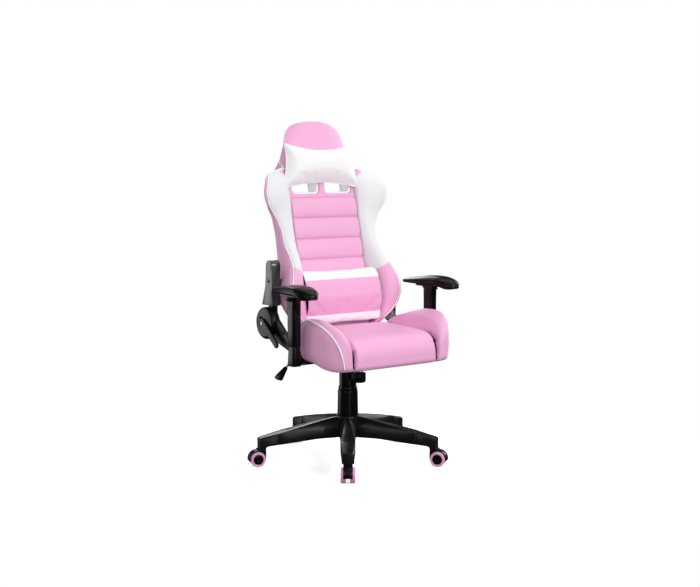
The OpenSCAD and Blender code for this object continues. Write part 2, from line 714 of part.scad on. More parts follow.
// The seat side's plate: a disc on the pivot, a neck and a foot on the bar
disc_r = 35;
lobe_y = -42;
lobe_z = 462;
seat_plate_side = concat(
    arc(hinge_y, hinge_z, disc_r, -75, 165, 14), [[46, 513], [4, 493]],
    arc(lobe_y, lobe_z, 17, 70, 180, 5),
    [[cross_y + 4, frame_z + 30], [cross_y, frame_z], [cross_y + cross_w, frame_z],
     [cross_y + cross_w + 2, frame_z + 30]]);

module seat_hinge_plates() color(steel) pair() difference() {
    side_plate(seat_plate_side, hinge_in, hinge_t);
    translate([0, hinge_y, hinge_z]) along_x(axle_r, 700);
}

channel_x = hinge_in;    // inner face of the boxed channel
channel_t = 36;
channel_top = 757;
channel_low = hinge_z + dome_d / 2 + 7;
boss_r = 11;
boss_x = 226;
boss_at = [[76, 626], [72, 676]];

// Bosses that bolt the recliner's arms to the back's flanks
module arm_bosses() for (p = boss_at) translate([boss_x, p[0], p[1]])
    rotate([0, 90, 0]) cylinder(r = boss_r, h = arm_in - boss_x + 1);

// The right arm carries a boxed channel, the left one stays a plate
channel_side = concat(arc(70, channel_top - 20, 20, 0, 180, 10),
    [[50, 640], [48, channel_low], [118, channel_low], [96, 660]]);
channel_hollow = concat(arc(70, channel_top - 20, 17, 0, 180, 10),
    [[53, 640], [52, channel_low + 3], [112, channel_low + 3], [92, 660]]);
back_arm_side = concat(arc(78, 672, 17, 0, 180, 8), [[60, channel_low]],
    arc(hinge_y, hinge_z, disc_r, 175, 365, 18), [[112, channel_low]]);

module back_arm_plate() difference() {
    union() {
        side_plate(back_arm_side, arm_in, hinge_t);
        arm_bosses();
    }
    translate([0, hinge_y, hinge_z]) along_x(axle_r + fit, 700);
}

module back_hinge_arms() color(steel) {
    back_arm_plate();
    mirror([1, 0, 0]) {
        back_arm_plate();
        difference() {
            side_plate(channel_side, channel_x, channel_t);
            side_plate(channel_hollow, channel_x - 1, channel_t - 2);
            translate([channel_x + channel_t, 72, 680]) along_x(3.5, 10);
        }
    }
}

dome_x = arm_in + hinge_t + 0.5;
dome_h = 35;

// The right-hand cover: a dome on the pivot with a skirt over the front lobe
skirt_side = concat(
    arc(hinge_y, hinge_z, dome_d / 2 - 5, -110, 125, 18),
    arc(-30, 466, 24, 115, 250, 8));

module hinge_covers() color(black) {
    difference() {
        union() {
            mirror([1, 0, 0]) translate([dome_x, hinge_y, hinge_z]) rotate([0, 90, 0])
                rotate_extrude() polygon(concat([[axle_r, 0], [dome_d / 2, 0],
                    [dome_d / 2, dome_h - 14]],
                    arc(dome_d / 2 - 12, dome_h - 14, 12, 0, 62, 6),
                    [[dome_d / 2 - 26, dome_h - 1.5], [22, dome_h], [axle_r, dome_h]]));
            mirror([1, 0, 0]) side_plate(skirt_side, hinge_in + 15.5, 14);
            translate([-hinge_in - 11, lobe_y, lobe_z]) along_x(10, 11.99);
        }
        mirror([1, 0, 0]) translate([dome_x - 3, hinge_y, hinge_z]) rotate([0, 90, 0])
            rotate_extrude() polygon([[axle_r + 4, 0], [dome_d / 2 - 3, 0],
                [dome_d / 2 - 3, dome_h - 12], [dome_d / 2 - 12, dome_h - 4],
                [dome_d / 2 - 28, dome_h], [axle_r + 4, dome_h]]);
        translate([-hinge_out, hinge_y, hinge_z]) along_x(axle_r, 60);
        translate([10 - hinge_out, -17, 500]) along_x(4, 30);
        translate([-hinge_out, -26, 451]) cube([20, 12, 5]);
    }
    // The left pivot has a flat cap
    translate([dome_x, hinge_y, hinge_z]) rotate([0, 90, 0]) rotate_extrude()
        polygon([[axle_r, 0], [24, 0], [24, 3], [22, 5], [axle_r, 5]]);
}

module hinge_pins() color(bright) {
    for (side = [0, 1]) mirror([side, 0, 0]) translate([0, hinge_y, hinge_z])
        rotate([0, 90, 0]) {
            translate([0, 0, hinge_in])
                cylinder(r = axle_r, h = side == 1 ? dome_x + dome_h + 9 - hinge_in
                    : dome_x + 5 - hinge_in);
            translate([0, 0, hinge_in - 6]) cylinder(r = axle_r + 5, h = 6);
        }
}

// The release lever lies across the right-hand dome
lever_side = concat(
    arc(118, 541, 9, -10, 120, 5),
    arc(hinge_y, hinge_z, 17, 60, 120, 3),
    arc(2, 458, 11, 120, 300, 6),
    arc(hinge_y, hinge_z, 17, 250, 320, 3));

module recline_lever() color(black) difference() {
    mirror([1, 0, 0]) side_plate(lever_side, dome_x + dome_h + gap, 7);
    translate([0, hinge_y, hinge_z]) along_x(axle_r + fit, 700);
}

// ---- Back: x across, y through its thickness, z up along it ----

module back_place() translate([0, back_y, back_z]) rotate([-lean, 0, 0]) children();

// Half width of the back's front at height v, from its driving widths
function back_half_w(v) = lookup(v, [[-24, 150], [0, 184], [20, 210], [44, low_w / 2 - 31],
    [74, low_w / 2 - 13], [117, low_w / 2], [147, low_w / 2 - 3], [182, low_w / 2 - 15],
    [222, low_w / 2 - 32], [267, waist_w / 2 + 4], [312, waist_w / 2 + 3],
    [351, waist_w / 2], [390, waist_w / 2 + 11], [429, shoulder_w / 2 - 34],
    [458, shoulder_w / 2 - 10], [487, shoulder_w / 2 - 1], [503, shoulder_w / 2],
    [532, shoulder_w / 2 - 8], [550, shoulder_w / 2 - 15], [567, shoulder_w / 2 - 26],
    [585, neck_w / 2 + 90], [598, neck_w / 2 + 36], [612, neck_w / 2 + 22],
    [640, neck_w / 2 + 12], [668, neck_w / 2 + 4], [697, neck_w / 2],
    [730, neck_w / 2 - 10], [758, neck_w / 2 - 30], [772, neck_w / 2 - 55],
    [778, neck_w / 2 - 80]]);
// Half width of its rear edge, which the flanks slant in to
function back_rear_w(v) = lookup(v, [[-24, 138], [20, 166], [67, 198], [103, 214],
    [140, 220], [222, 214], [267, waist_w / 2 - 11], [351, waist_w / 2 - 14],
    [390, waist_w / 2 - 13], [429, waist_w / 2 - 6], [458, shoulder_w / 2 - 64],
    [503, shoulder_w / 2 - 60], [532, shoulder_w / 2 - 64], [567, shoulder_w / 2 - 83],
    [605, neck_w / 2 + 38], [640, neck_w / 2 + 13], [668, neck_w / 2 - 2],
    [697, neck_w / 2 - 18], [730, neck_w / 2 - 32], [758, neck_w / 2 - 50],
    [772, neck_w / 2 - 70], [778, neck_w / 2 - 92]]);
// How far the side wings stand forward of the middle panel
function wing(v) = lookup(v, [[-24, 6], [0, 28], [20, 48], [44, 62], [74, 75], [117, 84],
    [147, 85], [182, 82], [222, 72], [267, 52], [312, 33], [351, 25], [390, 22],
    [429, 25], [458, 34], [503, 42], [532, 41], [567, 25], [585, 13], [598, 8],
    [640, 5], [778, 2]]);
function back_depth(v) = back_t * lookup(v, [[-24, 0.6], [20, 0.9], [67, 1], [560, 1],
    [700, 0.92], [758, 0.8], [772, 0.62], [778, 0.4]]);

// Half of the back's section at v, from the rear middle round to the front middle
function back_half_ring(v) =
    let (w = back_half_w(v), r = back_rear_w(v), g = wing(v), d = back_depth(v),
         p = min(panel_w / 2, w - 32), i = min(1, w / 100))
    [[0, d], [r - 44 * i, d - 0.5], [r - 18 * i, d - 4], [r - 4 * i, d * 0.8],
     [r + (w - r) * 0.28, d * 0.5],
     [r + (w - r) * 0.66, 0], [w, -g * 0.45], [w - 8, -g * 0.85], [w - 24, -g],
     [(w + p) / 2 + 4, -g * 0.92], [p + 8, -g * 0.35], [p, 3], [p - 8, 0],
     [p / 2, -2], [0, -3]];

back_stations = [-24, 0, 20, 44, 74, 117, 147, 182, 222, 267, 312, 351, 390, 429, 458,
    487, 503, 532, 550, 567, 585, 598, 612, 640, 668, 697, 730, 758, 772, 778];
slot_v = 534;
slot_u = 74.5;
slot_w = 118;
slot_h = 56;
slot_sink = 12;          // the frames lie this deep in the padding

// Both belt slots, cut or filled through the back
module belt_slots(grow, y0, y1) pair() translate([slot_u, 0, slot_v])
    rotate([-90, 0, 0]) translate([0, 0, y0]) linear_extrude(height = y1 - y0)
        polygon(round_rect(slot_w + 2 * grow, slot_h + 2 * grow, 16 + grow));

module back_pad() color(pink) difference() {
    back_place() loft([for (v = back_stations) [for (p = mirrored(back_half_ring(v)))
        [p[0], p[1], v > 740 ? v + back_h - 778 : v]]]);
    back_place() belt_slots(0, -80, 200);
    pair() arm_bosses();
    // The recliner's arms lie in recesses in the flanks
    side_plate(back_arm_side, arm_in - gap, 40);
    mirror([1, 0, 0]) {
        side_plate(back_arm_side, arm_in - gap, 40);
        side_plate(channel_side, channel_x, 50);
    }
}

module slot_bezels() color(white) back_place() difference() {
    belt_slots(0, slot_sink, back_t + 1);
    belt_slots(-7, -80, 200);
}

// ---- Cushions ----

// A stuffed cushion: half-length l, half-height h(s), half-thickness t(s)
function cushion_ring(x, h, t, n = 16) =
    [for (i = [0:n - 1]) let (a = 360 * i / n)
        [x, t * sign(sin(a)) * pow(abs(sin(a)), 0.8), h * sign(cos(a)) * pow(abs(cos(a)), 0.7)]];

module cushion(half_l, mid_h, end_h, mid_t, steps = 9) loft([for (i = [0:steps])
    let (s = -1 + 2 * i / steps, e = min(1, 1.02 - pow(abs(s), 6)))
    cushion_ring(s * half_l, (mid_h + (end_h - mid_h) * pow(abs(s), 1.6)) * (0.9 + 0.1 * e),
        mid_t * (0.12 + 0.88 * sqrt(max(0, 1 - pow(abs(s), 3)))))]);

module head_pillow() color(white) back_place()
    translate([0, -32.3, 614]) cushion(154, 64, 83, 29);

module lumbar_pillow() color(pink) back_place()
    translate([0, -44.3, 114]) cushion(158, 98, 94, 41);

// ---- Drawing ----

for (k = [1:5]) {
    caster_place(k) caster_hood();
    caster_place(k) caster_axle();
    caster_place(k) caster_wheel(1);
    caster_place(k) caster_wheel(-1);
}
base_star();
leg_end_caps();
caster_stems();
column_tube();
column_bush();
thrust_bearing();
piston_rod();
gas_cylinder();
valve_pin();
cover_lower();
cover_middle();
cover_upper();
tilt_housing();
seat_plate();
tilt_axle();
tension_knob();
tension_spring();
lever_pin();
lever_rod();
lever_grip();
seat_frame();
seat_pad();
arm_brackets();
arm_posts();
arm_place(1) arm_sleeve();  // arm_sleeve_left
arm_place(-1) arm_sleeve();  // arm_sleeve_right
arm_place(1) arm_trigger();  // arm_trigger_left
arm_place(-1) arm_trigger();  // arm_trigger_right
arm_place(1) arm_pad();  // arm_pad_left
arm_place(-1) arm_pad();  // arm_pad_right
seat_hinge_plates();
back_hinge_arms();
hinge_covers();
hinge_pins();
recline_lever();
back_pad();
slot_bezels();
head_pillow();
lumbar_pillow();
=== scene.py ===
"""Looks of a racing-style swivel chair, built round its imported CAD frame.

Lengths are metres in the frame's axes: the chair faces -Y, +Z is up and the
sitter's right is -X. Sizes that read better in millimetres are multiplied by MM.
"""

import json
import math

import bpy
import numpy as np
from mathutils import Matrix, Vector
from mathutils.bvhtree import BVHTree
from mathutils.kdtree import KDTree


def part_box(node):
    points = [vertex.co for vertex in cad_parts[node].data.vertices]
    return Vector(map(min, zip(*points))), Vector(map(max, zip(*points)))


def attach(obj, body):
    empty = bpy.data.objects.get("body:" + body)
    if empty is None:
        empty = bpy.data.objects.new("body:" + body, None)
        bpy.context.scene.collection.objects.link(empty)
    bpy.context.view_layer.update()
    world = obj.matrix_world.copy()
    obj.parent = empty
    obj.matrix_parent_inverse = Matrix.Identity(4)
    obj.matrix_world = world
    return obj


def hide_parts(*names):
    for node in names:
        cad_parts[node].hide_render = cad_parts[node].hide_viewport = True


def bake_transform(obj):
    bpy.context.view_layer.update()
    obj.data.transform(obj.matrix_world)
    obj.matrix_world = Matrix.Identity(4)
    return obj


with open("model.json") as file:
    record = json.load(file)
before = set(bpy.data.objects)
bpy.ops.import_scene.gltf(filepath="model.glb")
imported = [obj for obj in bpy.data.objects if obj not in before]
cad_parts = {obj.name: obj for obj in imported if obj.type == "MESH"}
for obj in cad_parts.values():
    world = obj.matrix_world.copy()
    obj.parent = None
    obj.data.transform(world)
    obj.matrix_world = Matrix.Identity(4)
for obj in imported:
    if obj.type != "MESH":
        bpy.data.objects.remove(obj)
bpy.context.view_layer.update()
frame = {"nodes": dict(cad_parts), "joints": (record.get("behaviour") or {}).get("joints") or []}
MM = 0.001
# The sitter's two sides: the sign of X and the side's name
SIDES = ((1, "left"), (-1, "right"))

# ---- Camera ----
# A long lens ahead of the sitter's right arm, just below the head cushion, as
# for a catalogue view of the whole chair.
camera_data = bpy.data.cameras.new("camera")
camera_data.lens = 62.248
camera = bpy.data.objects.new("camera", camera_data)
camera.location = (-2.628, -3.601, 1.102)
camera.rotation_euler = (math.radians(83.880), 0, -math.radians(36.229))
scene = bpy.context.scene
scene.collection.objects.link(camera)
scene.camera = camera


# ---- Five-leg base ----
# One moulding of glass-filled nylon with a shell over each leg's end. Injection
# moulding leaves it satin black, with softened edges and a fine spark-eroded grain.
def linear(hex_colour):
    """An sRGB hex colour as linear red, green, blue and alpha."""
    parts = [int(hex_colour[i : i + 2], 16) / 255 for i in (1, 3, 5)]
    return [p / 12.92 if p <= 0.04045 else ((p + 0.055) / 1.055) ** 2.4 for p in parts] + [1]


def add(material, kind, settings, links=None):
    """Adds a shader node with its settings and its links, and returns it."""
    node = material.node_tree.nodes.new("ShaderNode" + kind)
    for name, value in settings.items():
        if isinstance(name, str) and hasattr(node, name):
            setattr(node, name, value)
        else:
            node.inputs[name].default_value = value
    for name, socket in (links or {}).items():
        material.node_tree.links.new(socket, node.inputs[name])
    return node


def new_material(name):
    material = bpy.data.materials.new(name)
    material.use_nodes = True
    material.node_tree.nodes.clear()
    return material


def surface(material, settings, links=None):
    """Ends a material in one surface shader."""
    shader = add(material, "BsdfPrincipled", settings, links)
    add(material, "OutputMaterial", {}, {"Surface": shader.outputs["BSDF"]})
    return material


def noise(material, size, detail):
    """Noise fixed to the object, with features of about the given size."""
    place = add(material, "TexCoord", {}).outputs["Object"]
    node = add(material, "TexNoise", {"Scale": 1 / size, "Detail": detail}, {"Vector": place})
    return node.outputs["Fac"]


def between(material, low, high, share):
    """A number that runs from low to high as a share runs from 0 to 1."""
    node = add(material, "MapRange", {"To Min": low, "To Max": high}, {"Value": share})
    return node.outputs["Result"]


def tint(material, colours, share):
    """A colour that runs between two sRGB hex colours as a share runs from 0 to 1."""
    ends = {"data_type": "RGBA", 6: linear(colours[0]), 7: linear(colours[1])}
    return add(material, "Mix", ends, {0: share}).outputs[2]


def relief(material, height, strength, depth):
    """The normal of a surface that a height raises by up to a depth."""
    bump = add(material, "Bump", {"Strength": strength, "Distance": depth}, {"Height": height})
    return bump.outputs["Normal"]


def moulded(name, colours, roughness, grain, depth, specular=0.26):
    """A moulded plastic: even colour, a fine grain and a faint unevenness of its gloss."""
    material = new_material(name)
    cloud = noise(material, 60 * MM, 2)
    return surface(material, {"IOR": 1.5, "Specular IOR Level": specular},
                   {"Base Color": tint(material, colours, cloud),
                    "Roughness": between(material, roughness * 0.85, roughness * 1.15, cloud),
                    "Normal": relief(material, noise(material, grain, 3), 0.5, depth)})


def modify(piece, kind, **settings):
    """Adds a modifier with its settings to a piece."""
    modifier = piece.modifiers.new(kind.lower(), kind)
    for name, value in settings.items():
        setattr(modifier, name, value)


# Edges that turn by more than this are crisp, and the rest are shaded smooth
crisp_angle = math.radians(38)


def dress(material, *names, edge=0.8 * MM):
    """Finishes CAD nodes: their material, rounded edges, and smooth round faces."""
    for name in names:
        piece = frame["nodes"][name]
        piece.data.materials.clear()
        piece.data.materials.append(material)
        if "custom_normal" in piece.data.attributes:
            piece.data.attributes.remove(piece.data.attributes["custom_normal"])
        piece.data.shade_smooth()
        modify(piece, "WELD", merge_threshold=0.002 * MM)
        if edge:
            modify(piece, "BEVEL", width=edge, segments=2, limit_method="ANGLE",
                   angle_limit=crisp_angle, harden_normals=False)
        modify(piece, "EDGE_SPLIT", split_angle=crisp_angle)


# Glass-filled nylon: satin, with a 0.6 mm grain drawn coarser than the real 0.1 mm
nylon = moulded("glass_filled_nylon", ("#0c0c0d", "#121214"), 0.36, 0.6 * MM, 0.03 * MM, 0.36)
dress(nylon, "base_star", "leg_end_caps", edge=1.6 * MM)

# ---- Casters ----
# Twin wheels on a steel axle under a nylon hood. Each wheel is a black nylon
# disc with a soft pink tyre moulded round it and a domed hub.
casters = range(1, 6)
hood_nylon = moulded("hood_nylon", ("#0a0a0b", "#121214"), 0.3, 0.6 * MM, 0.02 * MM)
dress(hood_nylon, *[f"caster_{k}_hood" for k in casters], edge=0.8 * MM)


def turned_metal(name, colour, roughness, mark):
    """A turned or ground metal whose gloss is broken by fine marks."""
    material = new_material(name)
    marks = noise(material, mark, 2)
    return surface(material, {"Base Color": linear(colour), "Metallic": 1},
                   {"Roughness": between(material, roughness * 0.7, roughness * 1.3, marks),
                    "Normal": relief(material, marks, 0.3, 0.01 * MM)})


# Zinc-plated steel: a dull grey shine
zinc = turned_metal("zinc_plated_steel", "#b9bbbf", 0.35, 1.5 * MM)
dress(zinc, "caster_stems", *[f"caster_{k}_axle" for k in casters], edge=0.5 * MM)
# Soft polyurethane tyre: matt pink
tyre = moulded("pink_polyurethane_tyre", ("#e8a0cd", "#efacd6"), 0.45, 1 * MM, 0.02 * MM)
hub_black = moulded("gloss_nylon_hub", ("#08080a", "#0d0d0f"), 0.22, 0.8 * MM, 0.01 * MM)


def make_piece(name, points, faces, materials, body, index=None, smooth=True, flip=False):
    """A mesh object in the row frame, riding on a CAD body; flip turns its faces over."""
    mesh = bpy.data.meshes.new(name)
    points = np.asarray(points, float).reshape(-1, 3)
    mesh.from_pydata(points.tolist(), [], [list(map(int, f))[:: -1 if flip else 1] for f in faces])
    for material in materials:
        mesh.materials.append(material)
    if index is not None:
        mesh.polygons.foreach_set("material_index", np.asarray(index, np.int32))
    mesh.polygons.foreach_set("use_smooth", np.full(len(mesh.polygons), smooth))
    mesh.validate()
    mesh.update()
    piece = bpy.data.objects.new(name, mesh)
    scene.collection.objects.link(piece)
    if body:
        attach(piece, body)
    return piece


def ring_faces(rings, count, closed_ends=True):
    """Faces of a tube of rings with count points each, facing out, with flat ends."""
    faces = []
    for j in range(rings - 1):
        a, b = j * count, (j + 1) * count
        faces += [(a + i, a + (i + 1) % count, b + (i + 1) % count, b + i) for i in range(count)]
    if closed_ends:
        faces += [range(count)[::-1], range((rings - 1) * count, rings * count)]
    return faces


def lathe(name, profile, centre, axis, materials, body, index=None, steps=64):
    """Turns a profile of (radius, height) pairs in mm round an axis through centre."""
    spin = Vector(axis).normalized().to_track_quat("Z", "Y").to_matrix()
    angles = 2 * np.pi * np.arange(steps) / steps
    points = [Vector(centre) + spin @ Vector((r * MM * math.cos(a), r * MM * math.sin(a), h * MM))
              for r, h in profile for a in angles]
    shades = [*np.repeat(index, steps), index[0], index[-1]] if index else None
    return make_piece(name, points, ring_faces(len(profile), steps), materials, body, shades)


wheel_radius = 27.5
# From the wheel's inner face, over the tread, to the domed hub: radius, height
wheel_profile = [
    (4.3, -9), (22, -9), (22.6, -8.7), (24.2, -8.6), (26, -8.2), (27, -7.2), (wheel_radius, -5.6),
    (wheel_radius, 5.2), (27.1, 6.9), (26.2, 8.2), (24.8, 8.9), (22.5, 9.1), (20.4, 8.9),
    (19.2, 8.4), (18.7, 7.4), (18.4, 7.2), (18.1, 7.4), (17.6, 8.3), (16.2, 8.8), (12, 9.2),
    (7, 9.4), (6.4, 9.2), (6, 8.6), (4.3, 8.5)]
# Which stretches of it are tyre, 0, and which are hub, 1
wheel_shades = [1] * 2 + [0] * 12 + [1] * 9
for joint in frame["joints"]:
    if "_roll_" in joint["name"]:
        outward = Vector(joint["axis"]) * (1 if joint["name"].endswith("left") else -1)
        wheel = lathe(joint["child"], wheel_profile, joint["pos_m"], outward, [tyre, hub_black],
                      joint["child"], wheel_shades)
        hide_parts(joint["child"])

# ---- Gas column ----
# A steel tube and gas lift hidden by three telescoping polypropylene covers, which
# are smoother and glossier than the base and show long upright highlights.
cover_plastic = moulded("polypropylene_cover", ("#08080a", "#0e0e10"), 0.26, 0.9 * MM, 0.015 * MM)
dress(cover_plastic, "cover_lower", "cover_middle", "cover_upper", "column_bush", edge=1 * MM)


def coated(name, colour, roughness, ripple, specular=0.5):
    """Powder coat on steel: satin, with the slight ripple of orange peel."""
    material = new_material(name)
    wear, peel = noise(material, 45 * MM, 4), noise(material, ripple, 1.5)
    even = {"Base Color": linear(colour), "IOR": 1.5, "Specular IOR Level": specular}
    return surface(material, even,
                   {"Roughness": between(material, roughness - 0.08, roughness + 0.08, wear),
                    "Normal": relief(material, peel, 0.4, 0.05 * MM)})


# Black powder coat over pressed steel
powder_coat = coated("black_powder_coat", "#0c0c0d", 0.42, 2 * MM)
dress(powder_coat, "column_tube", "gas_cylinder", edge=0.6 * MM)
ground_steel = turned_metal("ground_steel", "#d3d4d6", 0.18, 2.5 * MM)
dress(ground_steel, "piston_rod", "valve_pin", "thrust_bearing", edge=0.4 * MM)

# ---- Rocking mechanism ----
# A pressed and powder-coated steel housing under the seat, with a ribbed knob
# that sets the rocking tension and a lever with a nylon grip for the gas lift.
dress(powder_coat, "tilt_housing", "seat_plate", edge=1.2 * MM)
dress(zinc, "tilt_axle", "lever_pin", edge=0.3 * MM)
dress(cover_plastic, "tension_knob", edge=1.2 * MM)
dress(hood_nylon, "lever_grip", edge=1.5 * MM)
dress(zinc, "lever_rod", edge=0)


def tube(name, path, radius, material, body, sides=10):
    """A round cord of the given radius along a list of points, with rounded ends."""
    path = np.asarray(path, float)
    tangent = np.gradient(path, axis=0)
    tangent /= np.linalg.norm(tangent, axis=1, keepdims=True)
    no_cord_runs_this_way = (0.31, 0.17, 0.93)
    side = np.cross(tangent[0], no_cord_runs_this_way)
    turns = 2 * np.pi * np.arange(sides) / sides
    rings = []
    reach = np.full(len(path), radius)
    reach[0] = reach[-1] = radius * 0.35
    for spot, t, r in zip(path, tangent, reach):
        side = side - t * (side @ t)
        side /= np.linalg.norm(side)
        up = np.cross(t, side)
        rings += [spot + r * (math.cos(a) * side + math.sin(a) * up) for a in turns]
    return make_piece(name, rings, ring_faces(len(path), sides), [material], body)


# The tension spring: 4 mm wire coiled between the housing, which keeps its upper
# end, and the knob's cup, which rocks with the seat and takes its lower end along
spring_low, spring_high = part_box("tension_spring")
middle = (spring_low + spring_high) / 2
coil_radius, wire_radius, coil_turns = 15 * MM, 1.9 * MM, 4.5
angle = np.linspace(0, coil_turns * 2 * np.pi, 200)
coil = np.stack([middle.x + coil_radius * np.cos(angle), middle.y + coil_radius * np.sin(angle),
                 np.linspace(spring_low.z + 2 * MM, spring_high.z - 2 * MM, len(angle))], 1)
spring = tube("tension_spring_coil", coil, wire_radius, zinc, None)
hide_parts("tension_spring")
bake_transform(spring)


# ---- Seat frame and arm brackets ----
# A steel plate with a cross bar lies in the cushion's underside, and the arms'
# bent brackets are bolted under it. All of it is pressed and powder-coated black.
dress(powder_coat, "seat_frame", "arm_brackets", edge=1 * MM)


# ---- Seat cushion ----
# Moulded foam in artificial leather: a flat middle between two high bolsters, each
# with white piping over its outer shoulder, and black felt stapled underneath.
def through(table):
    """A smooth curve through (place, value) pairs that never overshoots them."""
    x, y = np.array(table, float).T
    h = np.diff(x)
    slope = np.diff(y) / h
    ahead, behind = slope[1:], slope[:-1]
    same = ahead * behind > 0
    mean = np.where(same, 2 * ahead * behind / np.where(same, ahead + behind, 1), 0)
    tangent = np.concatenate([slope[:1], mean, slope[-1:]])

    def value(at):
        at = np.clip(at, x[0], x[-1])
        i = np.clip(np.searchsorted(x, at) - 1, 0, len(x) - 2)
        t = (at - x[i]) / h[i]
        return ((2 * t**3 - 3 * t**2 + 1) * y[i] + (t**3 - 2 * t**2 + t) * h[i] * tangent[i]
                + (3 * t**2 - 2 * t**3) * y[i + 1] + (t**3 - t**2) * h[i] * tangent[i + 1])

    return value


def along(points, columns):
    """Places on a smooth line through points at fractional point numbers, and their arc lengths."""
    points = np.asarray(points, float)
    steps = np.linalg.norm(np.diff(points, axis=0), axis=1)
    length = np.concatenate([[0], np.cumsum(np.maximum(steps, 0.05))])
    at = np.interp(columns, np.arange(len(points)), length)
    return np.stack([through(np.stack([length, points[:, i]], 1))(at) for i in range(2)], 1), at


def leather(name, colours, roughness=0.5):
    """Artificial leather: a coated cloth with a pebbled grain, faintly uneven in tone and gloss."""
    material = new_material(name)
    cloud, creases = noise(material, 90 * MM, 3), noise(material, 12 * MM, 4)
    # Pebbles about 1.6 mm across, drawn twice their real size so that they show
    place = add(material, "TexCoord", {}).outputs["Object"]
    pebbles = add(material, "TexVoronoi", {"feature": "SMOOTH_F1", "Scale": 1 / (1.6 * MM)},
                  {"Vector": place})
    height = add(material, "Math", {"operation": "MULTIPLY_ADD", 1: 0.35},
                 {0: pebbles.outputs["Distance"], 2: creases})
    return surface(material, {"IOR": 1.48, "Sheen Weight": 0.12, "Sheen Roughness": 0.4,
                              "Specular IOR Level": 0.42},
                   {"Base Color": tint(material, colours, cloud),
                    "Roughness": between(material, roughness - 0.05, roughness + 0.07, cloud),
                    "Normal": relief(material, height.outputs[0], 0.5, 0.35 * MM)})


pink_leather = leather("pink_artificial_leather", ("#efb0d6", "#ebaad1"))
# One white leather in two copies: darker on the back's wings as painted shade and lighter on the
# pillows as painted light; then the white piping
wing_white_painted_shade = leather("wing_white_leather_painted_shade", ("#e5e6e8", "#e2e3e5"))
pillow_white_painted_light = leather("pillow_white_leather_painted_light", ("#f3f1f3", "#f0eef0"))
piping_white = leather("white_piping", ("#fbfbfc", "#f6f6f8"), 0.42)


def woven(name, colours, thread):
    """A rough black felt or cloth with its threads showing."""
    material = new_material(name)
    fibres = noise(material, thread, 5)
    return surface(material, {"Roughness": 0.9, "Specular IOR Level": 0.2},
                   {"Base Color": tint(material, colours, fibres),
                    "Normal": relief(material, fibres, 0.8, 0.4 * MM)})


# Needle felt: fibres drawn 1.2 mm thick so that they show. The same felt also lies deep in the
# seat's front folds as painted shade
felt = woven("black_felt_and_fold_shade", ("#0b0b0c", "#1a1a1c"), 1.2 * MM)

seat_half = 284
seat_crease = 188
# Places along the seat, front to rear, against its shape in mm
seat_side = through([
    (-300, 52), (-296, 44), (-288, 37), (-275, 26), (-262, 17), (-240, 6), (-212, 0), (-160, 0),
    (-100, 8), (-80, 21), (-66, 22.5), (0, 24), (30, 32), (44, 46)])
seat_crest = through([
    (-300, 474), (-297, 492), (-291, 509), (-282, 524), (-267, 539), (-245, 553), (-215, 563),
    (-180, 567), (-150, 566), (-100, 557), (-50, 543), (0, 526), (16, 517), (30, 504), (44, 475)])
seat_middle = through([
    (-300, 424), (-298, 440), (-294, 454), (-287, 467), (-277, 478), (-262, 488), (-240, 494),
    (-210, 497), (0, 502), (16, 497), (30, 486), (44, 466)])
seat_bottom = through([
    (-300, 402), (-297, 395), (-290, 389), (-279, 386), (-265, 386), (-230, 391), (-150, 407),
    (-100, 408), (0, 410), (16, 416), (30, 430), (44, 452)])


def seat_section(y):
    """Half of the seat's section at y, from its top middle round to its bottom middle."""
    # Half width, then the heights of the bolster, the middle and the underside
    w = seat_half - float(seat_side(y))
    crest, middle, low = (float(f(y)) for f in (seat_crest, seat_middle, seat_bottom))
    rise, height = crest - middle, crest - low
    crease = min(seat_crease, w - 14)
    # How wide the bolster is here beside its full width
    k = min(1, (w - crease) / (seat_half - seat_crease))
    top = [(0, middle + 6), (crease - 90, middle + 5.5), (crease - 50, middle + 4.5),
           (crease - 10, middle + 1), (crease, middle - 5)]
    bolster = [(crease + 12 * k, middle + rise * 0.2), (w - 68 * k, middle + rise * 0.6),
               (w - 46 * k, crest - rise * 0.13), (w - 27 * k, crest - 1), (w - 9, crest - 15),
               (w, crest - 46)]
    return top + bolster + [(w, low + height * 0.3), (w - 4, low + height * 0.12),
                            (w - 18, low + 4), (w - 60, low + 1), (w - 100, low), (0, low)]


def mirror_rings(half):
    """Full rings from half rings (rows, columns, 3) whose first and last points lie on x = 0."""
    other = half[:, -2:0:-1].copy()
    other[..., 0] *= -1
    return np.concatenate([half, other], 1)


def stops(*stretches):
    """Numbers spaced evenly along stretches, each given by its start, end and steps."""
    starts = [np.linspace(a, b, steps + 1)[:-1] for a, b, steps in stretches]
    return np.concatenate([*starts, stretches[-1][1:2]])


# Where the section and the rows are sampled: closer together at bends and at the nose
seat_columns = stops((0, 3, 15), (3, 4, 5), (4, 5, 5), (5, 9, 24), (9, 13, 16), (13, 16, 9))
seat_rows = np.concatenate([[-300, -299, -297.5, -295, -291.5, -287, -281, -274, -266],
                            np.linspace(-257, -20, 48), np.linspace(-14, 44, 20)])
seat_rings = mirror_rings(np.array([[(x, y, z) for x, z in along(seat_section(y), seat_columns)[0]]
                                    for y in seat_rows]))
seat_cover = make_piece("seat_cover", seat_rings * MM, ring_faces(*seat_rings.shape[:2]),
                        [pink_leather], "seat")


def apply_all(piece):
    """Makes the mesh what its modifiers give."""
    bpy.context.view_layer.update()
    graph = bpy.context.evaluated_depsgraph_get()
    made = bpy.data.meshes.new_from_object(piece.evaluated_get(graph))
    piece.modifiers.clear()
    piece.data = made


def subtract(piece, cutters):
    """Cuts other pieces away from a piece, and removes them."""
    for cutter in cutters:
        modify(piece, "BOOLEAN", object=cutter, solver="EXACT")
    apply_all(piece)
    for cutter in cutters:
        bpy.data.objects.remove(cutter)


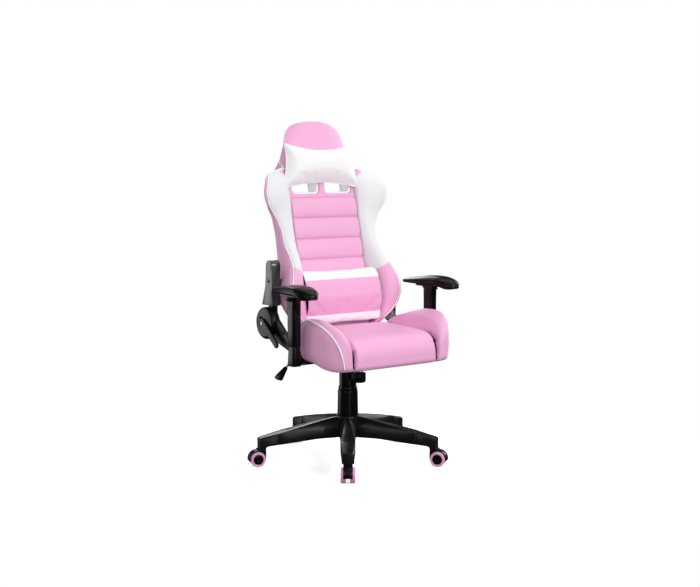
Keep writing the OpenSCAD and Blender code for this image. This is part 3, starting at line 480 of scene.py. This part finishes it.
def subtract_box(piece, low, high):
    """Cuts a box away from a piece, for the frame that lies in its underside."""
    xs, ys, zs = zip(low, high)
    corners = [(x, y, z) for z in zs for y in ys for x in xs]
    faces = [(0, 2, 3, 1), (4, 5, 7, 6), (0, 1, 5, 4), (2, 6, 7, 3), (0, 4, 6, 2), (1, 3, 7, 5)]
    subtract(piece, [make_piece("recess", corners, faces, [felt], None, smooth=False)])


# Recesses in the underside for the frame's plate, its rear tongue and its cross bar
frame_low, frame_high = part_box("seat_frame")
clearance, cut_below = 3 * MM, 40 * MM
for half, front, rear in ((0.2, -0.233, -0.011), (0.103, -0.03, 0.131), (0.3, -0.0815, -0.0185)):
    subtract_box(seat_cover, (-half, front, frame_low.z - cut_below),
                 (half, rear, frame_high.z + clearance))
# An even mesh 3 mm fine, so that the cover can be drawn in at its seams
modify(seat_cover, "REMESH", mode="VOXEL", voxel_size=3 * MM, use_smooth_shade=True)
modify(seat_cover, "SMOOTH", factor=0.5, iterations=8)
apply_all(seat_cover)


def read(items, field):
    """A field of three numbers for each of a mesh's vertices or polygons."""
    values = np.empty(len(items) * 3)
    items.foreach_get(field, values)
    return values.reshape(-1, 3)


def even_line(line, step=1.5):
    """The same line with points evenly step mm apart, its corners eased."""
    line = np.asarray(line, float)
    gone = np.concatenate([[0], np.cumsum(np.linalg.norm(np.diff(line[:, :3], axis=0), axis=1))])
    at = np.linspace(0, gone[-1], max(3, int(gone[-1] / step)))
    line = np.stack([np.interp(at, gone, line[:, i]) for i in range(line.shape[1])], 1)
    for _ in range(6):
        line[1:-1] = (line[:-2] + 2 * line[1:-1] + line[2:]) / 4
    return line


def draw_in(piece, lines):
    """Draws a cover in along seams, each a line of points and normals with widths and depths."""
    points = read(piece.data.vertices, "co") / MM
    moved = points.copy()
    for line, width, depth in lines:
        tree = KDTree(len(line))
        for i, row in enumerate(line):
            tree.insert(row[:3], i)
        tree.balance()
        nearest, gap = np.array([tree.find(p)[1:] for p in points]).T
        wide, deep = (np.interp(nearest, np.linspace(0, len(line) - 1, len(values)), values)
                      for values in (width, depth))
        normals = line[nearest.astype(int), 3:]
        moved -= normals * (deep * np.exp(-((gap / wide) ** 2)))[:, None]
    piece.data.vertices.foreach_set("co", (moved * MM).ravel())
    piece.data.update()


seat_tree = BVHTree.FromObject(seat_cover, bpy.context.evaluated_depsgraph_get())


def met(spot, normal, *_):
    """A point met on the seat, in mm, followed by its normal, or None."""
    return None if spot is None else [*(np.array(spot) / MM), *normal]


def cast(start, direction):
    """Where a line from start, in mm, first meets the seat."""
    return met(*seat_tree.ray_cast(Vector(start) * MM, Vector(direction)))


# The piping's way up the front and back over the bolster's shoulder, in mm
piping_line = [
    (230, -297, 398), (234, -298, 423), (239, -294, 450), (244, -290, 471), (251, -281, 491),
    (258, -269, 511), (268, -247, 532), (275, -215, 548), (272, -168, 556), (262, -120, 555),
    (252, -60, 543), (245, -25, 533), (240, 0, 523), (236, 20, 511), (232, 34, 498)]
# Widths and depths of the seams from the rear to the front, in mm
crease_width = (5, 5, 5, 5, 5, 6, 7, 8, 7, 6)
crease_depth = (4, 4, 4, 5, 6, 10, 22, 30, 26, 8)
piping_width, piping_depth = (4,) * 2, (2,) * 2
seams, cords = [], []
for side in (1, -1):
    # The crease beside the bolster, from the rear over the nose, where it becomes a deep fold
    crease = [cast((side * seat_crease, y, 700), (0, 0, -1)) for y in range(30, -284, -6)]
    crease += [cast((side * 186, -400, z), (0, 1, 0)) for z in range(466, 396, -5)]
    crease.append(cast((side * 185, -286, 300), (0, 0, 1)))
    crease = even_line([c for c in crease if c])
    seams.append((crease, crease_width, crease_depth))
    # The seam with its piping over the bolster's outer shoulder and down the front
    cord = even_line([met(*seat_tree.find_nearest(Vector((side * x, y, z)) * MM))
                      for x, y, z in even_line(piping_line, 6)])
    seams.append((cord, piping_width, piping_depth))
    cords.append(cord)
draw_in(seat_cover, seams)
# Felt on the underside and in the recesses, inside a hem
felt_front, felt_inset = -258, 42
polygons = seat_cover.data.polygons
centres, facing = read(polygons, "center") / MM, read(polygons, "normal")
inside = abs(centres[:, 0]) < seat_half - seat_side(centres[:, 1]) - felt_inset
recessed = (centres[:, 2] < frame_high.z / MM + 6) & inside
under = (centres[:, 1] > felt_front) & inside & ((facing[:, 2] < -0.3) | recessed)
seat_cover.data.materials.clear()
for material in (pink_leather, felt):
    seat_cover.data.materials.append(material)
polygons.foreach_set("material_index", under.astype(np.int32))
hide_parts("seat_pad")
for cord, name in zip(cords, ("left", "right")):
    piping = tube(f"seat_piping_{name}", (cord[:, :3] + cord[:, 3:] * 0.8)[::2] * MM, 3 * MM,
                  piping_white, "seat")
# A black felt cord deep in each front fold, as painted shade that darkens the fold
for crease, name in zip((seams[0][0], seams[2][0]), ("left", "right")):
    # From the nose down, and how deep it lies along its way
    fold_shade = crease[int(len(crease) * 0.64):-8]
    sunk = np.interp(np.arange(len(fold_shade)), (0, 20, len(fold_shade) - 12, len(fold_shade)), (3, 11, 15, 5))
    tube(f"seat_fold_shade_{name}", (fold_shade[:, :3] - fold_shade[:, 3:] * sunk[:, None]) * MM, 4 * MM,
         felt, "seat")
rim = [(seat_half - felt_inset - float(seat_side(y)), y) for y in np.arange(-85, felt_front, -6)]
hem = rim + [(x, felt_front) for x in np.arange(rim[-1][0] - 5, -rim[-1][0], -6)]
hem += [(-x, y) for x, y in rim[::-1]]
hem = even_line([cast((x, y, 300), (0, 0, 1)) for x, y in hem], 4)
tube("seat_felt_hem", hem[:, :3] * MM, 2.5 * MM, felt, "seat")


# ---- Armrests ----
# Steel posts in nylon boots, sliding polypropylene sleeves with a trigger, and
# moulded pads of soft black polyurethane with a rounded shoulder and a parting line.
dress(cover_plastic, "arm_posts", "arm_sleeve_left", "arm_sleeve_right", edge=1 * MM)
dress(hood_nylon, "arm_trigger_left", "arm_trigger_right", edge=0.6 * MM)
# Integral-skin polyurethane: soft, satin, with a leather-like skin of 1.4 mm pebbles
soft_skin = moulded("integral_skin_polyurethane", ("#060607", "#0a0a0b"), 0.32, 1.4 * MM,
                    0.05 * MM, 0.22)


def normals_of(grid):
    """Outward unit normals of a grid of rings that are closed round their second axis."""
    down = np.gradient(grid, axis=0)
    across = (np.roll(grid, -1, 1) - np.roll(grid, 1, 1)) / 2
    n = np.cross(down, across)
    n /= np.maximum(np.linalg.norm(n, axis=2, keepdims=True), 1e-9)
    outward = ((grid - grid.mean(1, keepdims=True)) * n).sum() > 0
    return n if outward else -n


def groove(distance, width, depth):
    """How far a sewn seam pulls the cover in at a distance from it."""
    return -depth * np.exp(-((distance / width) ** 2))


def both_sides(field):
    """A field over half rings, repeated for the mirrored halves."""
    return np.concatenate([field, field[:, -2:0:-1]], 1)


def close_grid(grid, bulge):
    """Points and faces of a grid of rings in mm, its two ends closed by shrinking rings."""
    caps = []
    for ring, inner in ((grid[0], grid[1]), (grid[-1], grid[-2])):
        middle, out = ring.mean(0), (ring - inner).mean(0)
        out = out / max(np.linalg.norm(out), 1e-9)
        caps.append([middle + (ring - middle) * s + out * bulge * math.sqrt(1 - s * s)
                     for s in (0.97, 0.9, 0.78, 0.6, 0.4, 0.2)])
    full = np.concatenate([caps[0][::-1], grid, caps[1]])
    return full, ring_faces(len(full), grid.shape[1])


arm_x, arm_y, pad_base, pad_half_width = 308.5, -105, 649, 45
pad_turn = math.radians(5.4)
# Places along the pad, front to rear, against its shape: its half width as a share of
# the full one, and how far its top and its underside lie above its base in mm
pad_half = through([
    (-140, 0.06), (-138, 0.26), (-133, 0.44), (-124, 0.62), (-110, 0.8), (-92, 0.92), (-65, 1),
    (0, 0.97), (60, 0.85), (95, 0.72), (115, 0.6), (127, 0.47), (134, 0.34), (138, 0.2),
    (140, 0.06)])
pad_top = through([
    (-140, 4), (-138, 9), (-133, 15), (-124, 21), (-110, 27), (-92, 31), (-65, 35), (-35, 36),
    (0, 34), (30, 30), (60, 26), (90, 22), (115, 18.5), (127, 15.5), (134, 12.5), (138, 9),
    (140, 5)])
pad_under = through([
    (-140, 0), (-138, -4), (-133, -7), (-124, -10), (-110, -11), (-95, -8), (-75, -2), (-60, 0.2),
    (60, 0.2), (100, 0.5), (127, 1), (134, 2), (138, 3.5), (140, 4.5)])
pad_end = np.array([140, 139.7, 139, 138, 136, 133, 129, 124, 118])
pad_rows = np.concatenate([-pad_end, np.linspace(-112, 112, 52), pad_end[::-1]])
pad_columns = np.linspace(0, 10, 41)
# The line where the mould's halves met, low on the pad's side
parting = int(np.argmin(abs(pad_columns - 6)))
half, lengths = [], []
for y in pad_rows:
    w, top, low = pad_half_width * float(pad_half(y)), float(pad_top(y)), float(pad_under(y))
    h = top - low
    spots, length = along([(0, top), (w * 0.35, top - h * 0.03), (w * 0.65, top - h * 0.11),
                           (w * 0.85, top - h * 0.23), (w * 0.96, top - h * 0.34),
                           (w, top - h * 0.46), (w * 0.97, low + h * 0.44),
                           (w * 0.95, low + h * 0.22), (w * 0.88, low + h * 0.06),
                           (w * 0.6, low), (0, low)], pad_columns)
    half.append([(x, y, z) for x, z in spots])
    lengths.append(length)
grid, lengths = mirror_rings(np.array(half)), np.array(lengths)
push = groove(lengths - lengths[:, [parting]], width=1.8, depth=1.2)
grid, faces = close_grid(grid + both_sides(push)[..., None] * normals_of(grid), 1.5)
x = grid[..., 0] * math.cos(pad_turn) - grid[..., 1] * math.sin(pad_turn) + arm_x
y = grid[..., 0] * math.sin(pad_turn) + grid[..., 1] * math.cos(pad_turn) + arm_y
for side, name in SIDES:
    placed = np.stack([x * side, y, grid[..., 2] + pad_base], -1)
    pad = make_piece(f"arm_cushion_{name}", placed * MM, faces, [soft_skin], f"arm_{name}",
                     flip=side < 0)
    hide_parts(f"arm_pad_{name}")


# ---- Recliner ----
# Pressed steel plates either side, with a moulded dome, a boxed channel and the
# release lever on the sitter's right. Black powder coat on the steel.
recliner_coat = coated("recliner_powder_coat", "#101011", 0.3, 2 * MM, 1)
dress(recliner_coat, "seat_hinge_plates", "back_hinge_arms", edge=1.5 * MM)
recliner_cover = moulded("recliner_cover_plastic", ("#0a0a0b", "#111113"), 0.3, 0.9 * MM, 0.02 * MM)
dress(recliner_cover, "hinge_covers", "recline_lever", edge=1.6 * MM)
dress(zinc, "hinge_pins", edge=0.6 * MM)


def screw(name, centre, axis, head, body):
    """A zinc-plated button-head screw with a hexagon socket, its head standing on a face."""
    rise, socket = head * 0.5, head * 0.5
    profile = [(0.01, 0), (head, 0), (head, rise * 0.3), (head * 0.9, rise * 0.68),
               (head * 0.7, rise * 0.92), (socket, rise), (socket * 0.94, rise * 0.9),
               (socket * 0.9, rise * 0.35), (0.01, rise * 0.3)]
    return lathe(name, profile, centre, axis, [zinc], body, steps=24)


plate_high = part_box("seat_hinge_plates")[1]
bolt_height, bolt_head = 420 * MM, 7
for side, name in SIDES:
    for k, y in enumerate((-66 * MM, -34 * MM)):
        bolt = screw(f"bracket_bolt_{name}_{k}", (side * plate_high.x, y, bolt_height),
                     (side, 0, 0), bolt_head, "seat")

# ---- Backrest ----
# Foam on a steel frame in a sewn cover: a pink middle of crosswise padded tubes,
# white wings, pink flanks, and white piping sewn into each wing's crest.
lean = math.radians(12.75)
back_origin = np.array((0, 51.2, 500.0))
# Heights up the leaning back, in mm, against its half widths in front and behind, how
# far its wings stand forward, and its thickness
front_half = through([
    (-24, 150), (0, 184), (20, 210), (44, 236), (74, 254), (117, 267), (147, 264), (182, 252),
    (222, 235), (267, 225), (312, 224), (351, 221), (390, 232), (429, 254), (458, 278), (487, 287),
    (503, 288), (532, 280), (550, 273), (567, 262), (585, 227), (598, 173), (612, 159), (640, 149),
    (668, 141), (697, 137), (730, 127), (758, 107), (772, 82), (778, 57)])
rear_half = through([
    (-24, 138), (20, 166), (67, 198), (103, 214), (140, 220), (222, 214), (267, 210), (351, 207),
    (390, 208), (429, 215), (458, 224), (503, 228), (532, 224), (567, 205), (605, 175), (640, 150),
    (668, 135), (697, 119), (730, 105), (758, 87), (772, 67), (778, 45)])
wing_rise = through([
    (-24, 6), (0, 28), (20, 48), (44, 62), (74, 75), (117, 84), (147, 85), (182, 82), (222, 72),
    (267, 52), (312, 33), (351, 25), (390, 22), (429, 25), (458, 34), (503, 42), (532, 41),
    (567, 25), (585, 13), (598, 8), (640, 5), (778, 2)])
back_thick = through([
    (-24, 37), (20, 56), (67, 62), (560, 62), (700, 57), (758, 50), (772, 38), (778, 25)])
# Where the flanks draw in behind the shoulders, and where the head section is round, 0 to 1
shoulder_tuck = through([(-24, 0), (395, 0), (430, 1), (575, 1), (602, 0), (778, 0)])
head_round = through([(-24, 0), (585, 0), (650, 1), (778, 1)])
# The section's points at the panel's edge, the rear's edge and the rear's middle, and the
# place among them of the seam along the wing's crest
panel_point, rim_point, rear_point = 3, 11, 14
crest_seam = through([
    (-24, 6.2), (40, 6.1), (100, 6.1), (160, 6.15), (222, 6.5), (276, 6.9), (351, 7.2), (421, 6.8),
    (482, 6.4), (560, 6.4), (600, 8), (630, 10), (690, 10.4), (778, 10.4)])
panel_half = 150.5
# Heights of the crosswise seams up the middle, where the same rows cross the crest, and
# how many rows lie between them
middle_rows = [-24, 20, 98, 176, 254, 331, 410, 488, 534, 640, 778]
crest_rows = [-24, 20, 98, 221, 264, 331, 410, 494, 620, 664, 778]
row_counts = [9, 14, 14, 14, 14, 14, 14, 14, 16, 26]
# The wings are white between these two of the seams
wing_from, wing_to = 3, 8


def back_section(v):
    """Half of the back's section at height v, from its front middle round to its rear middle."""
    # Half widths of the front and the rear, the wing's rise, and the thickness
    w, r, g, d = (float(f(v)) for f in (front_half, rear_half, wing_rise, back_thick))
    p = min(panel_half, w - 46)
    i = min(1, w / 100)
    a, c = p + 8, w - 24
    tuck = float(shoulder_tuck(v))
    front = [(0, -2), (p / 2, -2), (p - 8, 0), (p, 4), (a, -g * 0.3),
             (a + (c - a) * 0.55, -g * 0.9), (c, -g), (w - 8, -g * 0.86),
             (w - 15 * tuck, -g * 0.48), (r + (w - r) * 0.68 - 11 * tuck, 0)]
    head = float(head_round(v))
    front = [(x, y * (1 - head) + (22 * min(x / w, 1) ** 4 - 7) * head) for x, y in front]
    return front + [(r + (w - r) * 0.28 - 9 * tuck, d * 0.5), (r - 4 * i, d * 0.8),
                    (r - 18 * i, d - 4), (r - 44 * i, d - 0.5), (0, d)]


def ease(count):
    """Fractions 0 to 1, closer together at both ends, without the last."""
    t = np.arange(count) / count
    return t - 0.75 * np.sin(2 * np.pi * t) / (2 * np.pi)


# Heights at which the section is worked out
fine = np.concatenate([[-24, -23, -21, -17], np.arange(-12, 764, 3), np.arange(765, 778.5, 1)])
row_at = [0, *np.cumsum(row_counts)]
row_places = np.concatenate([*(k + ease(n) for k, n in enumerate(row_counts)), [len(row_counts)]])
panel_columns = stops((0, 2, 18), (2, panel_point, 7))
wing_steps, flank_steps, rear_steps = 26, 22, 14
back_columns = len(panel_columns) + wing_steps + flank_steps + rear_steps
panel_at = len(panel_columns) - 1
seam_at = panel_at + wing_steps
rim_at = seam_at + flank_steps

# Across, through and along the section, for each fine height and each column
table = []
for v in fine:
    q = float(crest_seam(v))
    t = np.linspace(0, 1, wing_steps + 1)[1:]
    columns = np.concatenate([
        panel_columns, panel_point + (q - panel_point) * (t + 0.25 * t * (t - 1)),
        q + (rim_point - q) * np.linspace(0, 1, flank_steps + 1)[1:],
        np.linspace(rim_point, rear_point, rear_steps + 1)[1:]])
    table.append(np.column_stack(along(back_section(v), columns)))
table = np.array(table)

# How far each column is over the wing, from 0 at the panel to 1 at the crest seam
share = np.clip((np.arange(back_columns) - panel_at) / wing_steps, 0, 1)
low_row = np.interp(row_places, np.arange(len(middle_rows)), middle_rows)
high_row = np.interp(row_places, np.arange(len(crest_rows)), crest_rows)
heights = low_row[:, None] * (1 - share) + high_row[:, None] * share
across, depth, lengths = (
    np.stack([np.interp(heights[:, i], fine, table[:, i, k]) for i in range(back_columns)], 1)
    for k in range(3))
back_grid = mirror_rings(np.stack([across, depth, heights], -1))
back_normal = normals_of(back_grid)



def below(height, fade, least=0):
    """1 for points below a height, falling to least over a fade above it."""
    return np.clip((height + fade - heights) / fade, least, 1)


# How far each point of the cover stands out or is pulled in, in mm
column_no, edge_columns = np.arange(back_columns)[None, :], 7
in_middle = np.clip((panel_at - column_no) / edge_columns, 0, 1) ** 0.5
tubes, tube_puff, wing_puff = np.zeros_like(lengths), 9.5, 3
for k in range(1, 7):
    rows = slice(row_at[k], row_at[k + 1] + 1)
    t = row_places[rows] - k
    tubes[rows] += (tube_puff * (4 * t * (1 - t)) ** 0.6)[:, None]
back_push = tubes * in_middle
for k in range(1, 8):
    back_push += groove(row_places[:, None] - k, width=0.035, depth=3.5) * in_middle
back_push += groove(lengths - lengths[:, [panel_at]], width=3.5, depth=5) * below(550, 50)
back_push += groove(lengths - lengths[:, [seam_at]], width=3.5, depth=1.5) * below(630, 60, 0.25)
on_wing = (column_no >= panel_at) & (column_no <= seam_at)
for k in (wing_from, wing_to):
    back_push += groove(heights - heights[[row_at[k]]], width=3, depth=1.8) * on_wing
back_push += wing_puff * (4 * share * (1 - share)) ** 0.6 * below(560, 60)
back_push += groove(lengths - lengths[:, [rim_at]], width=4, depth=2)
back_grid = back_grid + both_sides(back_push)[..., None] * back_normal


def leaned(grid):
    """From the back's own axes, across, through and up, in mm, to the row frame in metres."""
    x, y, v = grid[..., 0], grid[..., 1], grid[..., 2]
    out = np.stack([x, y * math.cos(lean) + v * math.sin(lean),
                    v * math.cos(lean) - y * math.sin(lean)], -1)
    return (out + back_origin) * MM


back_all, back_faces = close_grid(back_grid, 2)
extra = (len(back_all) - len(back_grid)) // 2
back_points = leaned(back_all).reshape(-1, 3)
# The recliner's channel and plates press the flanks in a little
recliner_top, flank_limit = 770 * MM, 263.2 * MM
low = back_points[:, 2] < recliner_top
back_points[low, 0] = np.clip(back_points[low, 0], -flank_limit, flank_limit)
count = back_grid.shape[1]
row = np.arange(len(back_all) - 1)[:, None] - extra
column = np.minimum(np.arange(count), count - 1 - np.arange(count))
white = ((row_at[wing_from] <= row) & (row < row_at[wing_to])
         & (panel_at <= column) & (column < seam_at))
shades = [*white.ravel().astype(int), 0, 0]
back_cover = make_piece("back_cover", back_points, back_faces, [pink_leather, wing_white_painted_shade],
                        "back", shades)

# The belt slots: how far out and up their middles are, their size and their corners
slot_u, slot_v, slot_w, slot_h, slot_corner = 74.5, 534, 118, 56, 16


def rounded_slot(grow, y, side, points=12):
    """A ring round a belt slot in the back's axes, grown by a margin, at a depth y."""
    ring, r = [], slot_corner + grow
    w, h = slot_w / 2 + grow, slot_h / 2 + grow
    for k, (sx, sz) in enumerate(((1, 1), (-1, 1), (-1, -1), (1, -1))):
        for a in np.radians(np.linspace(90 * k, 90 * k + 90, points)):
            ring.append((side * (slot_u + sx * (w - r) + r * math.cos(a)), y,
                         slot_v + sz * (h - r) + r * math.sin(a)))
    return ring


# How much wider than the slot its opening in the cover is, against the depth in the back
opening = [(17, -30), (13, -9), (8, -3), (5, 3), (3.6, 9), (3.2, 14), (0.6, 16), (0.6, 56),
           (3, 59), (6, 63), (14, 90)]
cutters = []
for side, name in SIDES:
    rings = np.array([rounded_slot(g, y, side) for g, y in opening])
    cutters.append(make_piece(f"slot_{name}", leaned(rings), ring_faces(*rings.shape[:2]),
                              [pink_leather], None, flip=side > 0))
subtract(back_cover, cutters)
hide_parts("back_pad")

for side, name in SIDES:
    rows = [j for j in range(len(back_grid)) if 8 < heights[j, seam_at] < 766]
    path = back_grid[rows, seam_at] + back_normal[rows, seam_at] * 1.4
    cord = tube(f"back_piping_{name}", leaned(path * (side, 1, 1)), 2.3 * MM, piping_white, "back")

# ---- Belt slot frames ----
# Glossy white ABS frames pushed into the two slots, each with a rounded lip that
# covers the cut edge of the leather, front and rear.
white_abs = moulded("white_abs", ("#eeeef0", "#f2f2f4"), 0.22, 2 * MM, 0.01 * MM)
# The lip's section: how far out from the slot's edge, and its depth in the back
lip = [
    (0, 57), (0, 15.5), (2.6, 13.6), (4, 11), (4.4, 8), (3.4, 5.8), (1, 4.8), (-2, 5.4),
    (-4.6, 7.6), (-6.2, 11), (-7, 16), (-7.2, 34), (-7, 56), (-5.5, 61), (-3, 63.6), (0, 64.6),
    (2.6, 64), (4, 62.2), (4, 60.6), (2.4, 59.2)]
for side, name in SIDES:
    rings = np.array([rounded_slot(g, y, side) for g, y in lip])
    # One more row of faces leads from the last ring back to the first
    faces = np.array(ring_faces(len(lip) + 1, rings.shape[1], closed_ends=False))
    slot_frame = make_piece(f"slot_frame_{name}", leaned(rings), faces % (rings.size // 3),
                            [white_abs], "back", flip=side < 0)
    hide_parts("slot_bezels")


# ---- Head cushion ----
# A loose stuffed pillow of white artificial leather, two panels sewn edge to edge, so
# that its sides draw in between four pointed corners.
def swell(piece, held, pressure, cap):
    """Blows a cushion up as cloth with its seams held; no point moves further than cap."""
    start = read(piece.data.vertices, "co")
    group = piece.vertex_groups.new(name="seams")
    group.add([int(i) for i in held], 1.0, "REPLACE")
    cloth = piece.modifiers.new("cloth", "CLOTH")
    for name, value in {"quality": 6, "use_pressure": True, "uniform_pressure_force": pressure,
                        "vertex_group_mass": "seams", "shrink_min": -0.012, "tension_stiffness": 25,
                        "compression_stiffness": 25, "bending_stiffness": 0.6}.items():
        setattr(cloth.settings, name, value)
    cloth.settings.effector_weights.gravity = 0
    frames = 20
    cloth.point_cache.frame_end = frames
    for number in range(1, frames + 1):
        scene.frame_set(number)
    graph = bpy.context.evaluated_depsgraph_get()
    move = read(piece.evaluated_get(graph).data.vertices, "co") - start
    piece.modifiers.remove(cloth)
    scene.frame_set(1)
    far = np.linalg.norm(move, axis=1, keepdims=True)
    move *= np.minimum(1, cap / np.maximum(far, 1e-9))
    piece.data.vertices.foreach_set("co", (start + move).ravel())
    piece.data.update()


def pillow(outline, thickness, rear_limit, columns, rows):
    """Two panels over a grid, sewn round their rim: points in mm, faces, and the rim in order."""
    across, up = (np.sin(np.linspace(-math.pi / 2, math.pi / 2, n)) for n in (columns, rows))
    # Numbers of the front panel's points, and of the rear one's, which shares the rim
    front = np.arange(columns * rows).reshape(rows, columns)
    rear = front.copy()
    rear[1:-1, 1:-1] = front.size + np.arange((columns - 2) * (rows - 2)).reshape(rows - 2, -1)
    points, faces = [], []
    for panel, inner in ((front, slice(None)), (rear, slice(1, -1))):
        for b in up[inner]:
            for a in across[inner]:
                x, y, v = outline(a, b)
                puff = thickness * ((1 - a**4) * (1 - b**4)) ** 0.5
                puff *= 0.75 + 0.25 * (1 - a * a) * (1 - b * b)
                points.append((x, y - puff if panel is front else min(y + puff, rear_limit), v))
        corners = [panel[:-1, :-1], panel[:-1, 1:], panel[1:, 1:], panel[1:, :-1]]
        faces += np.stack(corners[:: 1 if panel is front else -1], -1).reshape(-1, 4).tolist()
    rim = [*front[0], *front[1:, -1], *front[-1, -2::-1], *front[-2:0:-1, 0]]
    return np.array(points), faces, rim


def head_outline(a, b):
    """The rim of the head cushion: sides and ends draw in between the corners."""
    half = 169 - 7 * b - 13 * (1 - b * b)
    top = 688 - 26 * (1 - a * a)
    bottom = 520 + 24 * (1 - a * a)
    return half * a - 4.5 * (1 - b), -18 - 10 * b, (top + bottom) / 2 + (top - bottom) / 2 * b


points, faces, rim = pillow(head_outline, thickness=26, rear_limit=-5, columns=61, rows=41)
head_cushion = make_piece("head_cushion", leaned(points), faces, [pillow_white_painted_light], "back")
swell(head_cushion, rim, 3.0, 7 * MM)
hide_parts("head_pillow")
seam = tube("head_cushion_seam", leaned(points)[rim + rim[:1]], 1.5 * MM, pillow_white_painted_light, "back", 8)

# ---- Lumbar cushion ----
# A firm bolster with flat black gussets at its ends; its wrap of leather is sewn
# from a white, a pink and a white band.
lumbar_v = 110
# Its end profile, through and up from its middle line, from the top round the front
lumbar_profile = [
    (6, 97), (-10, 97), (-24, 92), (-34, 79), (-40, 54), (-44.5, 22), (-44.5, -8), (-41, -32),
    (-33, -52), (-24, -65), (-19, -71), (-19, -76), (-18, -92), (-11, -101), (4, -103), (20, -99),
    (30, -86), (34, -60), (35, 0), (34, 60), (30, 84), (20, 94), (6, 97)]
spots, _ = along(lumbar_profile, np.linspace(0, len(lumbar_profile) - 1, 97)[:-1])
lumbar_half = 168
lumbar_end = np.array([lumbar_half, 167.2, 165, 161])
lengthwise = np.concatenate([-lumbar_end, np.linspace(-155, 155, 43), lumbar_end[::-1]])
rings = []
for x in lengthwise:
    s = abs(x) / lumbar_half
    scale = 1 - 0.055 * max(0, (s - 0.9) / 0.1) ** 3 - 0.012 * s**2
    rings.append([(x - 7, -31 + y * scale, lumbar_v + z * scale) for y, z in spots])
rings = np.array(rings)
count = rings.shape[1]
# The white bands at the top and the bottom of the front, sewn to the pink at these heights
top_seam, bottom_seam = 54, -71
centre_z = (spots[:, 1] + np.roll(spots[:, 1], -1)) / 2
on_band = (spots[:, 0] < 10) & ((centre_z > top_seam) | (centre_z < bottom_seam))
shades = [*on_band.astype(int)] * (len(rings) - 1) + [2, 2]
gusset = woven("black_gusset_cloth", ("#0c0c0e", "#1c1c1f"), 1.5 * MM)
lumbar_cushion = make_piece("lumbar_cushion", leaned(rings), ring_faces(len(rings), count),
                            [pink_leather, pillow_white_painted_light, gusset], "back", shades)
ends = [j * count + i for j in (0, len(rings) - 1) for i in range(count)]
seam_columns = [i for i in range(count)
                if min(abs(spots[i, 1] - top_seam), abs(spots[i, 1] - bottom_seam)) < 2.2]
bands = [j * count + i for j in range(len(rings)) for i in seam_columns]
swell(lumbar_cushion, ends + bands, 2.5, 4 * MM)
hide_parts("lumbar_pillow")

# ---- Studio ----
# A pale floor that fades into white paper, and soft lights: a key in front with a
# fill beside it, one overhead, a narrow one for gloss, and three for the edges.
floor_paint = new_material("pale_studio_floor")
place = add(floor_paint, "TexCoord", {}).outputs["Object"]
away = add(floor_paint, "VectorMath", {"operation": "LENGTH"}, {0: place})
fade = add(floor_paint, "MapRange", {"interpolation_type": "SMOOTHSTEP", "From Min": 0.7,
                                     "From Max": 1.5}, {"Value": away.outputs["Value"]})
matt = add(floor_paint, "BsdfDiffuse", {"Color": linear("#ffffff")})
glow = add(floor_paint, "Emission", {"Color": linear("#ffffff"), "Strength": 0.55})
lit = add(floor_paint, "AddShader", {}, {0: matt.outputs[0], 1: glow.outputs[0]})
clear_paint = add(floor_paint, "BsdfTransparent", {})
mixed = add(floor_paint, "MixShader", {}, {0: fade.outputs["Result"], 1: lit.outputs[0],
                                           2: clear_paint.outputs[0]})
add(floor_paint, "OutputMaterial", {}, {"Surface": mixed.outputs[0]})
floor = make_piece("floor", [(-3, -3, 0), (3, -3, 0), (3, 3, 0), (-3, 3, 0)],
                   [(0, 1, 2, 3)], [floor_paint], None)
floor.visible_glossy = False
floor.visible_diffuse = False


def softbox(name, direction, distance, size, power, aim=(0, 0, 0.6)):
    """A soft rectangular light in a direction from the chair, facing it."""
    data = bpy.data.lights.new(name, "AREA")
    data.shape = "RECTANGLE"
    data.size, data.size_y = size
    data.energy = power
    lamp = bpy.data.objects.new(name, data)
    away = Vector(direction).normalized()
    lamp.location = Vector(aim) + away * distance
    lamp.rotation_euler = away.to_track_quat("Z", "Y").to_euler()
    scene.collection.objects.link(lamp)


softbox("key", (0.2, -0.9, 0.45), 3.2, (1.8, 1.4), 57)
softbox("left_front", (-0.9, -0.5, 0.4), 3.0, (1.4, 1.8), 15)
softbox("overhead", (0.3, -0.05, 1), 2.4, (2.2, 2.2), 21)
softbox("left_rear", (-0.62, 0.78, 0.08), 2.6, (1.3, 2.2), 20)
softbox("right_front", (-0.26, -0.96, 0.12), 3.2, (0.35, 2.0), 13)
softbox("right_side", (1, 0.1, 0.3), 3.0, (1.0, 2.0), 30)
softbox("rear", (0.5, 1, 0.5), 3.0, (1.4, 1.4), 30)
# White paper behind the set for the camera, a dim fill for matt surfaces, and
# near darkness for gloss to reflect between the lights
world = bpy.data.worlds.new("white_studio")
world.use_nodes = True
world.node_tree.nodes.clear()
ray = add(world, "LightPath", {})
level = between(world, 0.03, 1, ray.outputs["Is Camera Ray"])
fill = add(world, "Math", {"operation": "MULTIPLY_ADD", 1: 0.24},
           {0: ray.outputs["Is Diffuse Ray"], 2: level})
paper = add(world, "Background", {"Color": (1, 1, 1, 1)}, {"Strength": fill.outputs[0]})
add(world, "OutputWorld", {}, {"Surface": paper.outputs[0]})
scene.world = world
scene.view_settings.view_transform = "Standard"
